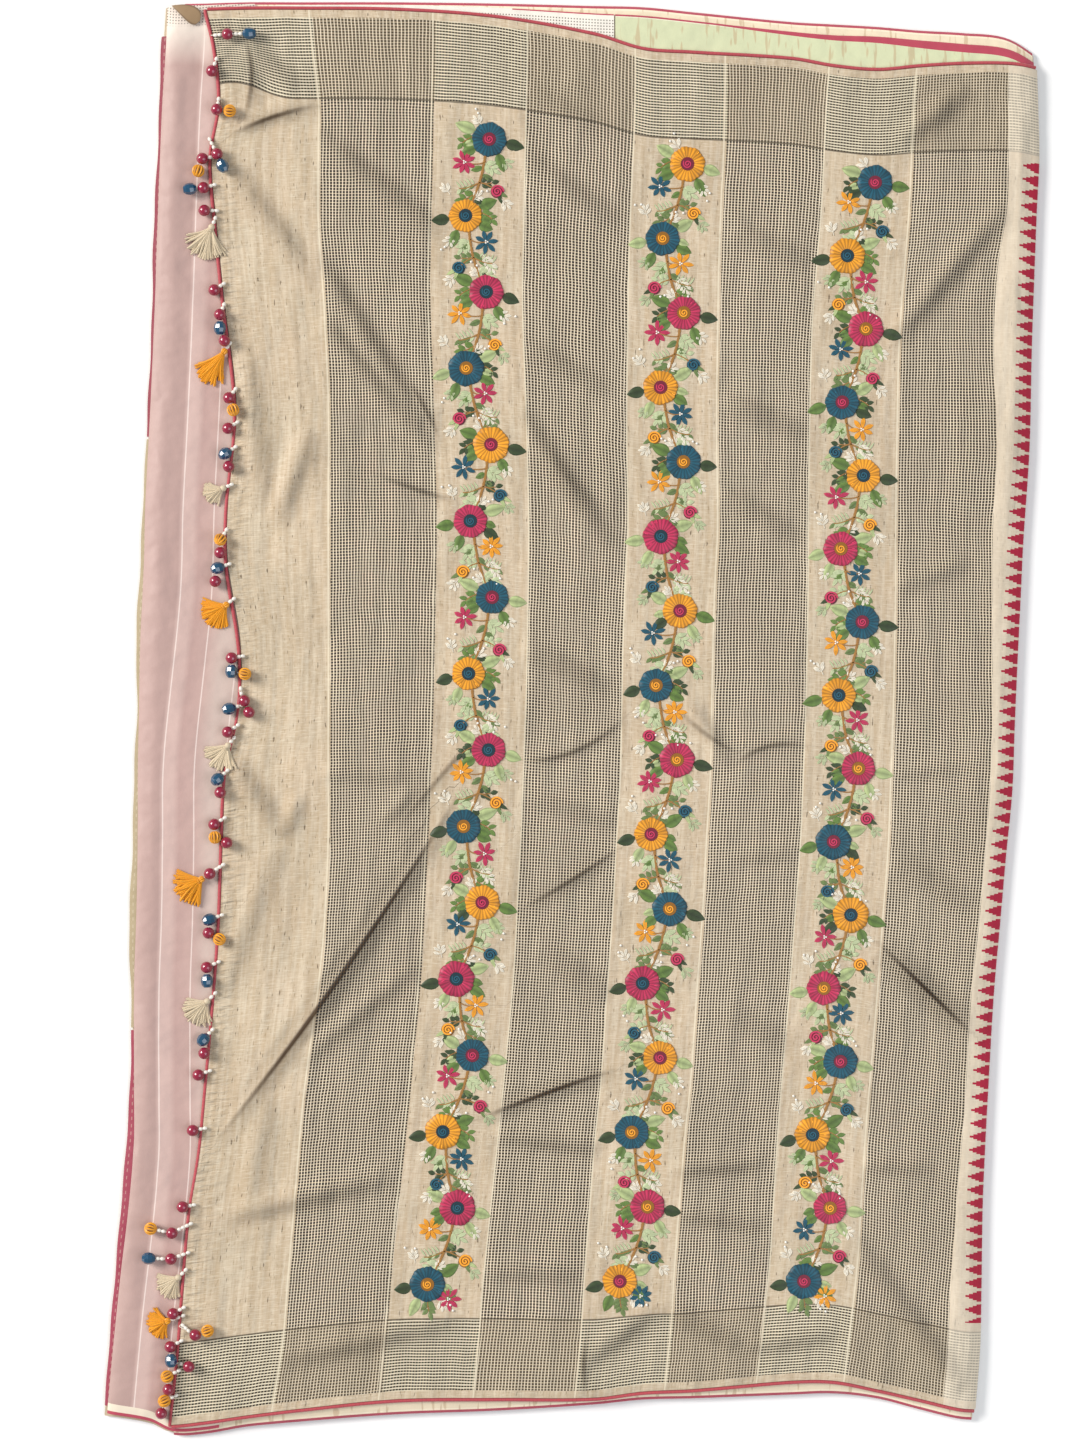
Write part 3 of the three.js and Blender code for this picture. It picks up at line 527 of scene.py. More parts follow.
# paler and deeper bands, each from its distance in from the fold, lie between the cream lines
PINK_LINES = 25.2
PINK_BANDS = ((0.0, "BA9C95"), (17.5, "B89A93"), (20.5, "D0B3AB"), (29.0, "CDB0A8"),
              (34.0, "BF9F98"), (45.4, "C5A69E"), (58.0, "CDB8AE"))
pink_silk, base, across, along, weave = silk("dusty pink silk, cream lines", "FFFFFF", 0.5, 0.35)
tone = node("ValToRGB", node("MULTIPLY", across, 0.01))
stops = tone.node.color_ramp.elements
for i, (start, code) in enumerate(PINK_BANDS):
    stop = stops[i] if i < 2 else stops.new(start * 0.01)
    stop.position, stop.color = start * 0.01, linear(code)
base = node("MixRGB", 1.0, base, tone, blend_type="MULTIPLY")
line = node("FRACT", node("ADD", node("MULTIPLY", across, 1 / PINK_LINES), 0.2))
line = node("MULTIPLY", node("LESS_THAN", line, 0.04), node("GREATER_THAN", across, 12.0))
base = node("MixRGB", node("MULTIPLY", line, 0.55), base, "F3E6DE")
# at its head it pales into the open check
head = node("SeparateXYZ", node("TexCoord", out=3)).node.outputs[1]
base = node("MixRGB", node("MapRange", head, 0.53, 0.56, 0.0, 0.7), base, "EBE2D4")
dot = node("MULTIPLY", open_check(across, along), node("MapRange", head, 0.561, 0.565, 0.0, 0.85))
base = node("MixRGB", dot, base, "5B5148")
# at the lower selvedge a crimson line, then a cream strip
hem = node("ValToRGB", node("MULTIPLY", along, 1 / 100.0))
ramp = hem.node.color_ramp
ramp.interpolation = "CONSTANT"
ramp.elements[0].color = linear("B24456")
ramp.elements[1].position = 0.024
ramp.elements[1].color = linear("E6D9C4")
finish(node("MixRGB", node("LESS_THAN", along, 9.0), base, hem), weave)

# soft creases pressed into the pink stretch: from, to, half width, rise
PINK_CREASES = (
    (-352, -352, -327, -371, 9, 0.8), (-327, -371, -300, -380, 9, 0.7),
    (-340, 380, -300, 330, 16, 0.6), (-338, 120, -300, 60, 18, 0.6),
    (-345, -90, -305, -140, 16, 0.6), (-350, -240, -310, -290, 14, 0.7),
    (-318, 520, -322, 260, 9, 0.5), (-330, 250, -336, -60, 9, 0.5),
    (-335, -60, -341, -330, 8, 0.5), (-365, -430, -330, -520, 14, 0.6),
)
PINK_GAIN = 1.6
OVER = 0.8


def pink_relief(x, y):
    rise = 0 * x
    for x0, y0, x1, y1, width, height in PINK_CREASES:
        rise = rise + height * hump(away(x, y, x0, y0, x1, y1)[0], width)
    return PINK_GAIN * rise * np.clip((side("free", y) - 2 - x) / 6, 0, 1)


def pink_place(u, v):
    guess = mix(LOW, HIGH, v)
    x = mix(side("pink", guess), side("free", guess) + 40, u)
    y = mix(selvedge("bottom", x) + 4, selvedge("top", x) - 2, v)
    turned = 0.9 * np.clip(1 - u / 0.03, 0, 1) ** 2
    tucked = 10.5 * hump(np.clip(110 - y, 0, 170), 170)
    z = level(x, y) - OVER - turned + pink_relief(x, y)
    return x, y, z, x - side("pink", y) - tucked, y - selvedge("bottom", x) - 4


pink_marks = np.concatenate([(0, 0.012, 0.03), np.linspace(0.06, 1, 26)])
laid("pink_stretch_silk", pink_marks, np.linspace(0, 1, 240), pink_place, pink_silk,
     ["pink_stretch"], 0.7)


def top_stretch(x0, x1):
    def place(u, v):
        x = mix(x0, x1, u)
        y = mix(selvedge("top", x) - UPPER_HIDDEN, selvedge("upper", x) - 1, v)
        turned = 0.7 * np.clip((v - 0.97) / 0.03, 0, 1) ** 2
        waves = 0.35 * np.sin(x / 27) * np.clip((y - selvedge("end_top", x) - 3) / 8, 0, 1)
        return x, y, level(x, y) - OVER - turned + waves, x, selvedge("upper", x) - y
    return place


top_marks = np.concatenate([np.linspace(0, 0.6, 6), np.linspace(0.68, 1, 10)])
check_silk, base, across, along, weave = silk("open white check silk", "F1ECE1", 0.6, 0.2)
# the dots are left out near the selvedge and at the left
dot = node("MULTIPLY", open_check(across, along), node("GREATER_THAN", along, 6.0))
dot = node("MULTIPLY", dot, node("MapRange", across, -120.0, -100.0, 0.0, 0.85))
base = node("MixRGB", dot, base, "5B5148")
line = node("MULTIPLY", node("LESS_THAN", along, 2.2), node("GREATER_THAN", across, -46.0))
finish(node("MixRGB", line, base, "B84658"), weave)
laid("check_stretch_silk", np.linspace(0, 1, 60), top_marks, top_stretch(-241, 36.5), check_silk,
     ["check_stretch"])

mint_silk = selvedge_silk("mint silk with a crimson selvedge", "D4D9B2", 2.6, 8.0, 3.4, "E4E2C8")
laid("mint_stretch_silk", np.linspace(0, 1, 80), top_marks,
     top_stretch(37.5, float(side("fold", selvedge("upper", HIGH))) - 3), mint_silk,
     ["mint_stretch"])

# ---- Turned corner ----
# A small leaf of the taupe border, turned up at the head of the pink stretch, dark at its rim.
CORNER_TIP, CORNER_END = (-322.0, 580.0), (-299.0, 567.0)
CORNER_LENGTH = 23
corner_silk, base, across, along, weave = silk("taupe silk, turned corner", "957B5C")
# darker towards the rim on both sides
rim_darkening = node("MapRange", node("ABSOLUTE", across), 0.72, 0.9, 0.0, 0.6)
finish(node("MixRGB", rim_darkening, base, "5E4A36"), weave)


def corner_place(u, v):
    """A leaf of cloth: pointed where it leaves the fold, rounded at its end."""
    half = 11.6 * v ** 0.9 * np.sqrt(np.clip(1 - v ** 3, 0, 1))
    aside = half * (2 * u - 1) + 1.6 * np.sin(math.pi * v)
    x = mix(CORNER_TIP[0], CORNER_END[0], v) + 0.49 * aside
    y = mix(CORNER_TIP[1], CORNER_END[1], v) + 0.87 * aside
    z = level(x, y) + 0.7 + 1.1 * u * np.sin(math.pi * v)
    return x, y, z, 2 * u - 1 + 0 * v, CORNER_LENGTH * v


laid("turned_corner_silk", np.linspace(0, 1, 13), np.linspace(0, 1, 17), corner_place,
     corner_silk, ["turned_corner"])

# ---- End piece ----
# Handwoven tussar: a plain slubby free end, then dark and cream check between three plain
# bands for the vines, a row of stepped temples at the fold, check blocks at both selvedges.
HALF_BANDS = (38.3, 36.4, 35.4)
BAND_STARTS = (0, 78, 163, 239.6, 317, 389.8, 466, 536.8, 616.6)
BAND_CELLS = (18, 20, 18, 18, 17, 18, 17, 19, 6)
TEMPLES_AT, FOLD_AT = BAND_STARTS[8], 660.0
BORDER_LOW, BORDER_HIGH = 66.0, 73.0
EDGE_STRIP = 6.5
SEAM = 1.8
# creases pressed into it: start, middle, end, width, rise
CREASES = (
    (-92, -64, -186, -208, -283, -337, 13, 3.0), (-76, -15, -98, -38, -138, -86, 7, 1.0),
    (39, -104, 5, -127, -36, -151, 9, 1.5), (34, -283, -16, -300, -73, -322, 10, 2.3),
    (-34, -32, 6, -24, 44, 1, 7, 1.1), (-153, 198, -122, 187, -95, 179, 7, 0.9),
    (-130, 276, -116, 252, -105, 228, 7, 0.9), (190, -20, 160, -21, 137, -34, 7, 1.0),
    (90, 7, 114, -13, 134, -25, 7, 0.9), (251, -180, 290, -218, 325, -252, 16, 2.2),
    (14, -500, 12, -520, 13, -542, 7, 1.2), (-270, 476, -242, 488, -206, 498, 10, 2.0),
    (-262, 552, -257, 522, -262, 492, 9, 1.6),
)
CREASE_GAIN, CREASE_DIP = 1.5, 0.6
DEEPEST = 2.2
# softer wrinkles: from, to, half width, rise
WRINKLES = (
    (-210, 480, -106, 394, 12, 1.0), (-210, 382, -118, 239, 11, 1.3),
    (-204, 325, -112, 222, 10, 1.2), (-205, -42, -124, -44, 8, 0.5),
    (-153, -82, -124, -53, 8, 0.7), (-221, -277, -124, -196, 10, 0.8),
    (-284, -402, -147, -368, 12, 1.1), (-44, 462, 36, 405, 12, 0.9), (-44, 308, 31, 268, 11, 0.8),
    (-44, 256, 31, 142, 11, 1.3), (-36, 222, 31, 162, 8, 0.7), (-38, 61, 31, 27, 11, 0.9),
    (-38, -59, 36, -82, 9, 0.7), (-61, -334, 25, -345, 9, 0.9), (-72, -443, 8, -448, 10, 0.8),
    (122, 262, 190, 233, 11, 0.9), (122, 187, 186, 147, 11, 0.8), (94, 21, 128, -36, 9, 0.9),
    (128, -110, 180, -105, 8, 0.6), (82, -362, 157, -357, 9, 1.0), (82, -397, 157, -408, 9, 0.8),
    (260, 308, 352, 418, 12, 1.3), (260, 107, 323, 130, 10, 0.7), (260, -42, 323, -36, 8, 0.5),
    (236, -357, 294, -362, 9, 0.7), (225, -414, 318, -540, 12, 1.0),
    (-239, 159, -210, 239, 12, 1.1), (-279, -25, -233, -93, 12, 1.2),
    (-233, -93, -216, -59, 10, 0.9), (-238, -100, -282, -220, 13, 0.8),
    (-279, 451, -205, 354, 13, 1.1), (-262, 300, -250, 170, 13, 0.8),
    (-245, -300, -262, -400, 12, 0.7), (-238, -517, -90, -483, 12, 0.9),
    (13, -517, 71, -471, 11, 1.0), (71, -471, 140, -506, 11, 0.9), (140, -506, 219, -494, 11, 0.8),
    (-262, 548, -221, 514, 10, 1.0), (265, 468, 323, 514, 12, 1.2), (-38, 514, 36, 474, 11, 0.7),
    (-28, -180, 30, -222, 13, 0.7), (120, -230, 178, -262, 13, 0.7),
    (262, -110, 325, -150, 13, 0.7), (130, 400, 190, 372, 12, 0.7),
)
WRINKLE_GAIN = 4.2
# how far the painted shade beside a wrinkle lies from it, away from the window
PAINTED_SHADE_AT = (5, -3)


def crease_at(x, y, crease, pieces=12):
    """Signed distance from a curved crease, and how strong the crease is there."""
    x0, y0, xm, ym, x2, y2 = crease[:6]
    t = np.linspace(0, 1, pieces + 1)
    xc, yc = 2 * xm - (x0 + x2) / 2, 2 * ym - (y0 + y2) / 2
    px = (1 - t) ** 2 * x0 + 2 * t * (1 - t) * xc + t ** 2 * x2
    py = (1 - t) ** 2 * y0 + 2 * t * (1 - t) * yc + t ** 2 * y2
    best = np.full(np.shape(x), 1e6)
    strength = np.zeros(np.shape(x))
    for i in range(pieces):
        distance, part = away(x, y, px[i], py[i], px[i + 1], py[i + 1])
        across = (px[i + 1] - px[i]) * (y - py[i]) - (py[i + 1] - py[i]) * (x - px[i])
        nearer = distance < np.abs(best)
        best = np.where(nearer, np.copysign(distance, across), best)
        ends = np.sin(math.pi * np.clip((i + part) / pieces, 0.02, 0.98)) ** 0.6
        strength = np.where(nearer, ends, strength)
    return best, strength


def relief(x, y):
    """How far the end piece's creases and wrinkles stand above its level."""
    rise = 0 * x
    for crease in CREASES:
        width, height = crease[6:]
        distance, strength = crease_at(x, y, crease)
        slack = np.where(distance > 0, 1.0, 0.55)
        over = hump(np.abs(distance), width * slack)
        beside = hump(np.abs(distance + width * 0.5), width * 0.3)
        rise = rise + height * strength * (CREASE_GAIN * over - CREASE_DIP * beside)
    for x0, y0, x1, y1, width, height in WRINKLES:
        distance, part = away(x, y, x0, y0, x1, y1)
        bulge = hump(distance, width) * np.sin(math.pi * part) ** 0.5
        rise = rise + WRINKLE_GAIN * height * bulge
    inside = np.clip((side("fold", y) - x) / 12, 0, 1) * np.clip((x - side("free", y)) / 8, 0, 1)
    return rise * inside


def surface(x, y):
    """Top of the end piece."""
    return level(x, y) + END_PLY + relief(x, y)


def band_edges(y):
    """x where each woven column starts, and the fold."""
    edges = [side("free", y) + SEAM, side("check", y)]
    for i, half in enumerate(HALF_BANDS, 1):
        edges += [side(f"vine{i}", y) - half, side(f"vine{i}", y) + half]
    return edges + [side("temple", y), side("fold", y)]


PULLED_AT, PULL_REACH, PULL = (8.0, 1092.0), 54.0, 14.0


def pulled(plan, run):
    """In the first block at the upper selvedge the threads are drawn toward the free end."""
    return run - PULL * hump(np.hypot(plan - PULLED_AT[0], run - PULLED_AT[1]), PULL_REACH)


along = np.concatenate([np.linspace(0, 0.02, 8), np.linspace(0.0236, 0.9764, 262),
                        np.linspace(0.98, 1, 8)])
guess = mix(LOW, HIGH, along)
edges = band_edges(guess)
lines, cloth_left, cloth_right = [], [], []
for band, cells in enumerate(BAND_CELLS):
    for i in range(cells):
        lines.append(mix(edges[band], edges[band + 1], i / cells))
        if band < len(BAND_CELLS) - 1:
            start, stop = BAND_STARTS[band], BAND_STARTS[band + 1]
            cloth_left.append(mix(start, stop, i / cells) + 0 * guess)
            cloth_right.append(mix(start, stop, (i + 1) / cells) + 0 * guess)
        else:
            width = edges[-1] - edges[-2]
            cloth_left.append(FOLD_AT - width * (1 - i / cells))
            cloth_right.append(FOLD_AT - width * (1 - (i + 1) / cells))
lines.append(edges[-1])
drops = [0] * len(lines)
# past the fold the cloth turns down round the layers
for out, down in ((0.7, 0.7), (1.1, 1.8), (1.2, 3.0), (0.9, 4.4)):
    lines.append(edges[-1] + out)
    drops.append(down)
    cloth_left.append(FOLD_AT + down - 0.9 + 0 * guess)
    cloth_right.append(FOLD_AT + down + 0 * guess)
x = np.stack(lines, 1)
fall = np.array(drops)[None, :] + 0 * x
inner = np.minimum(x, edges[-1][:, None])
y = mix(selvedge("end_bottom", inner) + SEAM, selvedge("end_top", inner) - SEAM, along[:, None])
z = surface(inner, y) - fall
faces = grid_faces(len(lines), len(along))
left, right = np.stack(cloth_left, 1), np.stack(cloth_right, 1)
near, far = along[:-1, None] * LENGTH + 0 * left[:-1], along[1:, None] * LENGTH + 0 * left[:-1]
corners = np.stack([np.stack([plan, pulled(plan, run)], -1) for plan, run in (
    (left[:-1], near), (right[:-1], near), (right[1:], far), (left[1:], far))], 2).reshape(-1, 2)
corners = np.concatenate([corners, np.zeros((len(corners), 1))], 1)
# each point's share: distance from the nearest crease, that crease's strength, and how much
# painted shade it gets in the hollow beside a crease or wrinkle
nearest = np.full(x.shape, 99.0)
strongest = np.zeros(x.shape)
painted_hollow_shade = np.zeros(x.shape)
for crease in CREASES:
    width, height = crease[6:]
    distance, strength = crease_at(x, y, crease)
    strength = strength * (height / DEEPEST) ** 0.6
    closer = np.abs(distance) < np.abs(nearest)
    nearest = np.where(closer, distance, nearest)
    strongest = np.where(closer, strength, strongest)
    # painted shade in the hollow along each crease
    shaded = np.clip(1 - np.abs(distance) / (1.1 * width), 0, 1)
    painted_hollow_shade = np.maximum(painted_hollow_shade, 0.4 * strength * shaded)
# and painted shade in the hollow beside each wrinkle, shifted away from the window
for x0, y0, x1, y1, width, height in WRINKLES:
    distance, part = away(x - PAINTED_SHADE_AT[0], y - PAINTED_SHADE_AT[1], x0, y0, x1, y1)
    ends = np.sin(math.pi * part) ** 0.5
    painted_hollow_shade = np.maximum(painted_hollow_shade, 0.25 * height * ends * hump(distance, 1.4 * width))
shares = np.stack([nearest, strongest, painted_hollow_shade], -1).reshape(-1, 3)

tussar = new_material("handwoven tussar silk, check and plain", 0.62, 0.28, 0.12)
spot = node("TexCoord", out=3)
cloth = node("Attribute", out=1, attribute_name="cloth")
# hand weaving wanders: threads stray up to about a millimetre over some 50 mm
stray = node("TexNoise", spot, None, 16.0, 3.0, 0.55, out=1)
stray = node("VectorMath", stray, (0.5, 0.5, 0.5), operation="SUBTRACT")
stray = node("VectorMath", stray, (4.5, 4.5, 0.0), operation="MULTIPLY")
strayed = node("SeparateXYZ", node("VectorMath", cloth, stray, operation="ADD"))
warp, weft = strayed, strayed.node.outputs[1]
exact = node("SeparateXYZ", cloth)
plan, run = exact, exact.node.outputs[1]
from_top = node("SUBTRACT", LENGTH, run)

# which part of the plan a place is in: red for check, green for temple; the ramp's own second
# stop repeats the last check column's red
parts = node("ValToRGB", node("DIVIDE", plan, FOLD_AT))
ramp = parts.node.color_ramp
ramp.interpolation = "CONSTANT"
ramp.elements[0].color = (0, 0, 0, 1)
ramp.elements[1].position = 600 / FOLD_AT
ramp.elements[1].color = (1, 0, 0, 1)
for i, start in enumerate(BAND_STARTS[1:8]):
    ramp.elements.new(start / FOLD_AT).color = ((i + 1) % 2, 0, 0, 1)
ramp.elements.new(TEMPLES_AT / FOLD_AT).color = (0, 1, 0, 1)
is_check = node("SeparateXYZ", parts)
is_temple = is_check.node.outputs[1]


def both_ends(low, high):
    """1 within these distances of the lower and of the upper selvedge."""
    return node("MAXIMUM", node("LESS_THAN", run, low), node("LESS_THAN", from_top, high))


def on_lines(value, places, half):
    """1 on thin lines at these places."""
    found = 0.0
    for place in places:
        found = node("MAXIMUM", found, node("LESS_THAN", apart(value, place), half))
    return found


# plain tussar: beige in soft streaks, with long uneven slubs up the cloth, a few short dark
# ones and finer pale ones across it
metres = node("VectorMath", cloth, (0.001, 0.001, 0.001), operation="MULTIPLY")
slubs = drawn_out(metres, (5.0, 1.0, 1.0), 130.0, 3.0, 0.6)
streaks = drawn_out(metres, (5.0, 0.22, 1.0), 60.0, 3.0, 0.65)
ticks = drawn_out(metres, (4.0, 0.8, 1.0), 130.0, 1.0, 0.5)
cross = drawn_out(metres, (1.0, 9.0, 1.0), 110.0, 2.0, 0.6)
plain = "CFBEA4"
for noise, start, stop, amount, later, code in (
    (node("TexNoise", spot, None, 22.0, 2.0), 0.42, 0.62, 0.0, 1.0, "D0BDA3"),
    (streaks, 0.38, 0.56, 0.55, 0.0, "BFA888"), (streaks, 0.52, 0.7, 0.0, 0.4, "E7D9C0"),
    (slubs, 0.26, 0.42, 0.75, 0.0, "98805F"), (ticks, 0.25, 0.31, 0.8, 0.0, "5E4C36"),
    (cross, 0.52, 0.75, 0.0, 0.6, "EADFC8"), (cross, 0.46, 0.24, 0.0, 0.5, "B09A79"),
):
    plain = node("MixRGB", node("MapRange", noise, start, stop, amount, later), plain, code)

# check: cream warp lines, tan weft between them and a dark dot in each opening
PITCH = 2.45
CREAM, TAN, DOT = "EEE0C8", "CAB899", "21180F"
warp_wave, weft_wave = apart(repeat(warp, PITCH), 0.5), apart(repeat(weft, PITCH), 0.5)
warp_line = node("MapRange", warp_wave, 0.115, 0.185, 1.0, 0.0)
weft_line = node("MapRange", weft_wave, 0.12, 0.19, 1.0, 0.0)
check = node("MixRGB", warp_line, node("MixRGB", weft_line, DOT, TAN), CREAM)
warp_thin = node("MapRange", warp_wave, 0.1, 0.2, 1.0, 0.0)
weft_wide = node("MapRange", weft_wave, 0.17, 0.26, 1.0, 0.0)
block = node("MixRGB", weft_wide, node("MixRGB", warp_thin, DOT, "B5A78B"), "E8DDC2")
block = node("MixRGB", is_check, block, node("MixRGB", 0.18, check, "978567"))
base = node("MixRGB", is_check, plain, check)
base = node("MixRGB", both_ends(BORDER_LOW, BORDER_HIGH), base, block)
base = node("MixRGB", both_ends(EDGE_STRIP, EDGE_STRIP), base, plain)
# a dark thread ends the blocks, and a cream one parts them
ends = on_lines(run, (BORDER_LOW, LENGTH - BORDER_HIGH), 0.7)
base = node("MixRGB", node("MULTIPLY", ends, 0.75), base, "4A3F30")
parting = on_lines(plan, BAND_STARTS[1:8], 0.6)
base = node("MixRGB", node("MULTIPLY", parting, 0.8), base, "E9DDC3")

# temples: stepped triangles that run on over the fold
TEMPLE, TEMPLE_REACH, STEP = 11.4, 12.9, 3.3
FIRST_TEMPLE, LAST_TEMPLE = 74.0, 80.0
inward = node("SUBTRACT", FOLD_AT, plan)
half = node("MapRange", node("SNAP", inward, STEP), 0.0, TEMPLE_REACH, 0.4, -0.02)
temple = node("MULTIPLY", node("LESS_THAN", apart(repeat(run, TEMPLE), 0.5), half),
              node("LESS_THAN", inward, TEMPLE_REACH))
within = node("MULTIPLY", node("GREATER_THAN", run, FIRST_TEMPLE),
              node("GREATER_THAN", from_top, LAST_TEMPLE))
temple = node("MULTIPLY", node("MULTIPLY", temple, within), is_temple)
base = node("MixRGB", node("MULTIPLY", is_temple, 0.5), base, "F2E4CE")
base = node("MixRGB", temple, base, node("MixRGB", slubs, "A61030", "BE1E42"))

# pressed creases: painted shade, a thin dark line on each crease and a softer one in each hollow
fold_line = node("SeparateXYZ", node("Attribute", out=1, attribute_name="share"))
close = node("MapRange", node("ABSOLUTE", fold_line), 0.7, 3.8, 1.0, 0.0)
pressed = node("MULTIPLY", close, fold_line.node.outputs[1])
dark = node("MAXIMUM", pressed, fold_line.node.outputs[2])
# the painted shade darkens the colour toward a dark brown
base = node("MixRGB", dark, base, "56452F", blend_type="MULTIPLY")
base = mottled(base, 0.3, node("TexNoise", spot, None, 11.0, 3.0), "6F6558")
tree.links.new(base, shader.inputs["Base Color"])
# relief: threads, soft rucks and pleats, puckers where the edging draws the free end up, creases
woven = node("MixRGB", is_check, slubs, node("MAXIMUM", warp_line, weft_line))
rucks = node("TexNoise", spot, None, 46.0, 3.0, 0.5)
puckers = node("TexNoise", node("Mapping", metres, None, (0, 0, 0.5), (0.5, 1.9, 1.0)), None,
               130.0, 2.0)
bump = None
for strength, distance, height in (
    (0.35, 0.0003, woven), (0.6, 0.004, rucks),
    (0.7, 0.007, drawn_out(metres, (1.0, 0.22, 1.0), 42.0, 2.0)),
    (node("MapRange", plan, 5.0, 26.0, 0.8, 0.0), 0.004, puckers), (0.6, 0.0008, pressed),
):
    bump = node("Bump", strength, distance, None, height, bump)
tree.links.new(bump, shader.inputs["Normal"])

end_cloth = cloth_piece("end_piece_tussar", np.stack([x, y, z], -1).reshape(-1, 3), faces, tussar,
                        corners=corners, shares=shares, wall=0.8, nodes=["end_piece"])

# ---- Crimson edging ----
# A narrow crimson binding sewn round the end piece's free end and both selvedges. It is a
# rounded fold of silk, slightly uneven where the stitches pull it down.
EDGING_WIDTH, EDGING_HEIGHT = 2.9, 1.9
SEWN = 3.2

edging_silk, base, across, along, weave = silk("crimson silk binding", "B74A52", 0.5, 0.3)
shade = node("MapRange", apart(repeat(along, SEWN), 0.5), 0.38, 0.5, 0.0, 0.4)
finish(node("MixRGB", shade, base, "8A2A3C"), weave, 0.4)


def binding(name, x, y, under, node_name):
    """A rounded band along a line: x, y its middle and under its lowest height at each place."""
    dx, dy = np.gradient(x), np.gradient(y)
    size = np.hypot(dx, dy)
    travelled = np.concatenate([[0], np.cumsum(np.hypot(np.diff(x), np.diff(y)))])
    points, cloth = [], []
    for angle in np.linspace(0, math.pi, 7):
        reach = math.cos(angle) * EDGING_WIDTH / 2
        pull = 1 - 0.13 * hump(np.abs((travelled / SEWN + 0.5) % 1 - 0.5), 0.3)
        lift = math.sin(angle) ** 0.8 * EDGING_HEIGHT * pull
        points.append(np.stack([x - dy / size * reach, y + dx / size * reach, under + lift], -1))
        cloth.append(np.stack([reach + 0 * x, travelled, 0 * x], -1))
    points = np.stack(points, 1)
    columns, rows = points.shape[1], points.shape[0]
    faces = grid_faces(columns, rows)
    faces += [[j * columns, (j + 1) * columns, (j + 1) * columns + columns - 1,
               j * columns + columns - 1] for j in range(rows - 1)]
    faces += [list(range(columns)), [(rows - 1) * columns + i for i in range(columns)][::-1]]
    cloth = np.stack(cloth, 1).reshape(-1, 3)
    order = np.array([i for face in faces for i in face])
    cloth_piece(name, points.reshape(-1, 3), faces, edging_silk, corners=cloth[order],
                nodes=[node_name])
    bpy.ops.object.mode_set(mode="EDIT")
    bpy.ops.mesh.select_all(action="SELECT")
    bpy.ops.mesh.normals_make_consistent(inside=False)
    bpy.ops.object.mode_set(mode="OBJECT")


y = np.linspace(float(selvedge("end_bottom", side("free", LOW))) + 0.3,
                float(selvedge("end_top", side("free", HIGH))) - 0.3, 560)
x = side("free", y) + 0.05
binding("edging_free_end_silk", x, y, level(x + 1.5, y), "edging_free_end")
for edge, shift in (("top", -1), ("bottom", 1)):
    end = HIGH if edge == "top" else LOW
    x = np.linspace(float(side("free", end)) + SEAM, float(side("fold", end)) - 0.2, 420)
    y = selvedge("end_" + edge, x) + shift * 0.05
    where = "upper" if edge == "top" else "lower"
    binding(f"edging_{where}_selvedge_silk", x, y, level(x, y + shift * 1.6),
            f"edging_{where}_selvedge")

# ---- Embroidered vines ----
# Stranded cotton worked by hand on the plain bands: padded rosettes with a coiled button, star
# flowers, coiled buds, fishbone leaves, ferns, looped sprigs and a few seed pearls.
# column, y of the first rosette, pitch
VINES = (("vine1", 471, 61.8), ("vine2", 451, 60.3), ("vine3", 436, 59.3))
ROSETTES = 16
SWAY = 9.0
ROSETTE_RADIUS, ROSETTE_RISE, ROSETTE_STITCHES = 14.4, 1.5, 25
FLOSS = {
    "crimson": "C22E58", "teal": "125468", "marigold": "F2A222", "stem": "A8783A",
    "leaf": "69873F", "dark_leaf": "394B2A", "pale_leaf": "B9C88C", "fern": "6F844C",
    "pale": "C4CFA2", "ecru": "FBF2DE", "pearl": "FBF8F0",
}
# petals and button of each rosette, from the top down, over and over
TEAL, GOLD, CRIMSON = "teal", "marigold", "crimson"
ROSETTE_COLOURS = {
    "vine1": ((TEAL, CRIMSON), (GOLD, TEAL), (CRIMSON, TEAL),
              (TEAL, GOLD), (GOLD, CRIMSON), (CRIMSON, TEAL)),
    "vine2": ((GOLD, CRIMSON), (TEAL, GOLD), (CRIMSON, GOLD),
              (GOLD, CRIMSON), (TEAL, GOLD), (CRIMSON, TEAL)),
    "vine3": ((TEAL, CRIMSON), (GOLD, TEAL), (CRIMSON, GOLD)),
}
STAR_COLOURS = (CRIMSON, TEAL, GOLD)
LEAF_TONES = (("pale_leaf", "leaf", "dark_leaf"), ("pale_leaf", "pale_leaf", "leaf"),
              ("leaf", "dark_leaf", "leaf"), ("pale_leaf", "dark_leaf", "leaf"))

floss = new_material("stranded cotton, satin stitched", 0.48, 0.4, 0.25)
tinted = node("Attribute", attribute_name="floss")
strands = node("TexNoise", node("TexCoord", out=3), None, 1500.0, 2.0)
base = mottled(tinted, 0.28, strands, "7C7468")
finish(base, strands, 0.35, 0.15, 0.0)
SECTION = ((-1.0, 0.0), (-0.55, 0.8), (0.55, 0.8), (1.0, 0.0))


def strand(path, widths, heights, code, bottom=0.0):
    """One stitch or cord along a path: rounded over the top and open where it meets the cloth."""
    path = np.asarray(path, float)
    way = np.gradient(path, axis=0)
    way /= np.maximum(np.hypot(way[:, 0], way[:, 1]), 1e-6)[:, None]
    start = len(work["points"])
    for (px, py), (wx, wy), width, height in zip(path, way, widths, heights):
        for reach, lift in SECTION:
            work["points"].append((px - wy * reach * width / 2, py + wx * reach * width / 2,
                                   bottom + lift * height - (0.3 if lift == 0 else 0)))
            # painted shade: the points where the stitch meets the cloth darker
            work["tones"].append(1.0 if lift else 0.7)
    for i in range(len(path) - 1):
        for k in range(3):
            a = start + i * 4 + k
            work["faces"].append((a, a + 4, a + 5, a + 1))
            work["codes"].append(code)


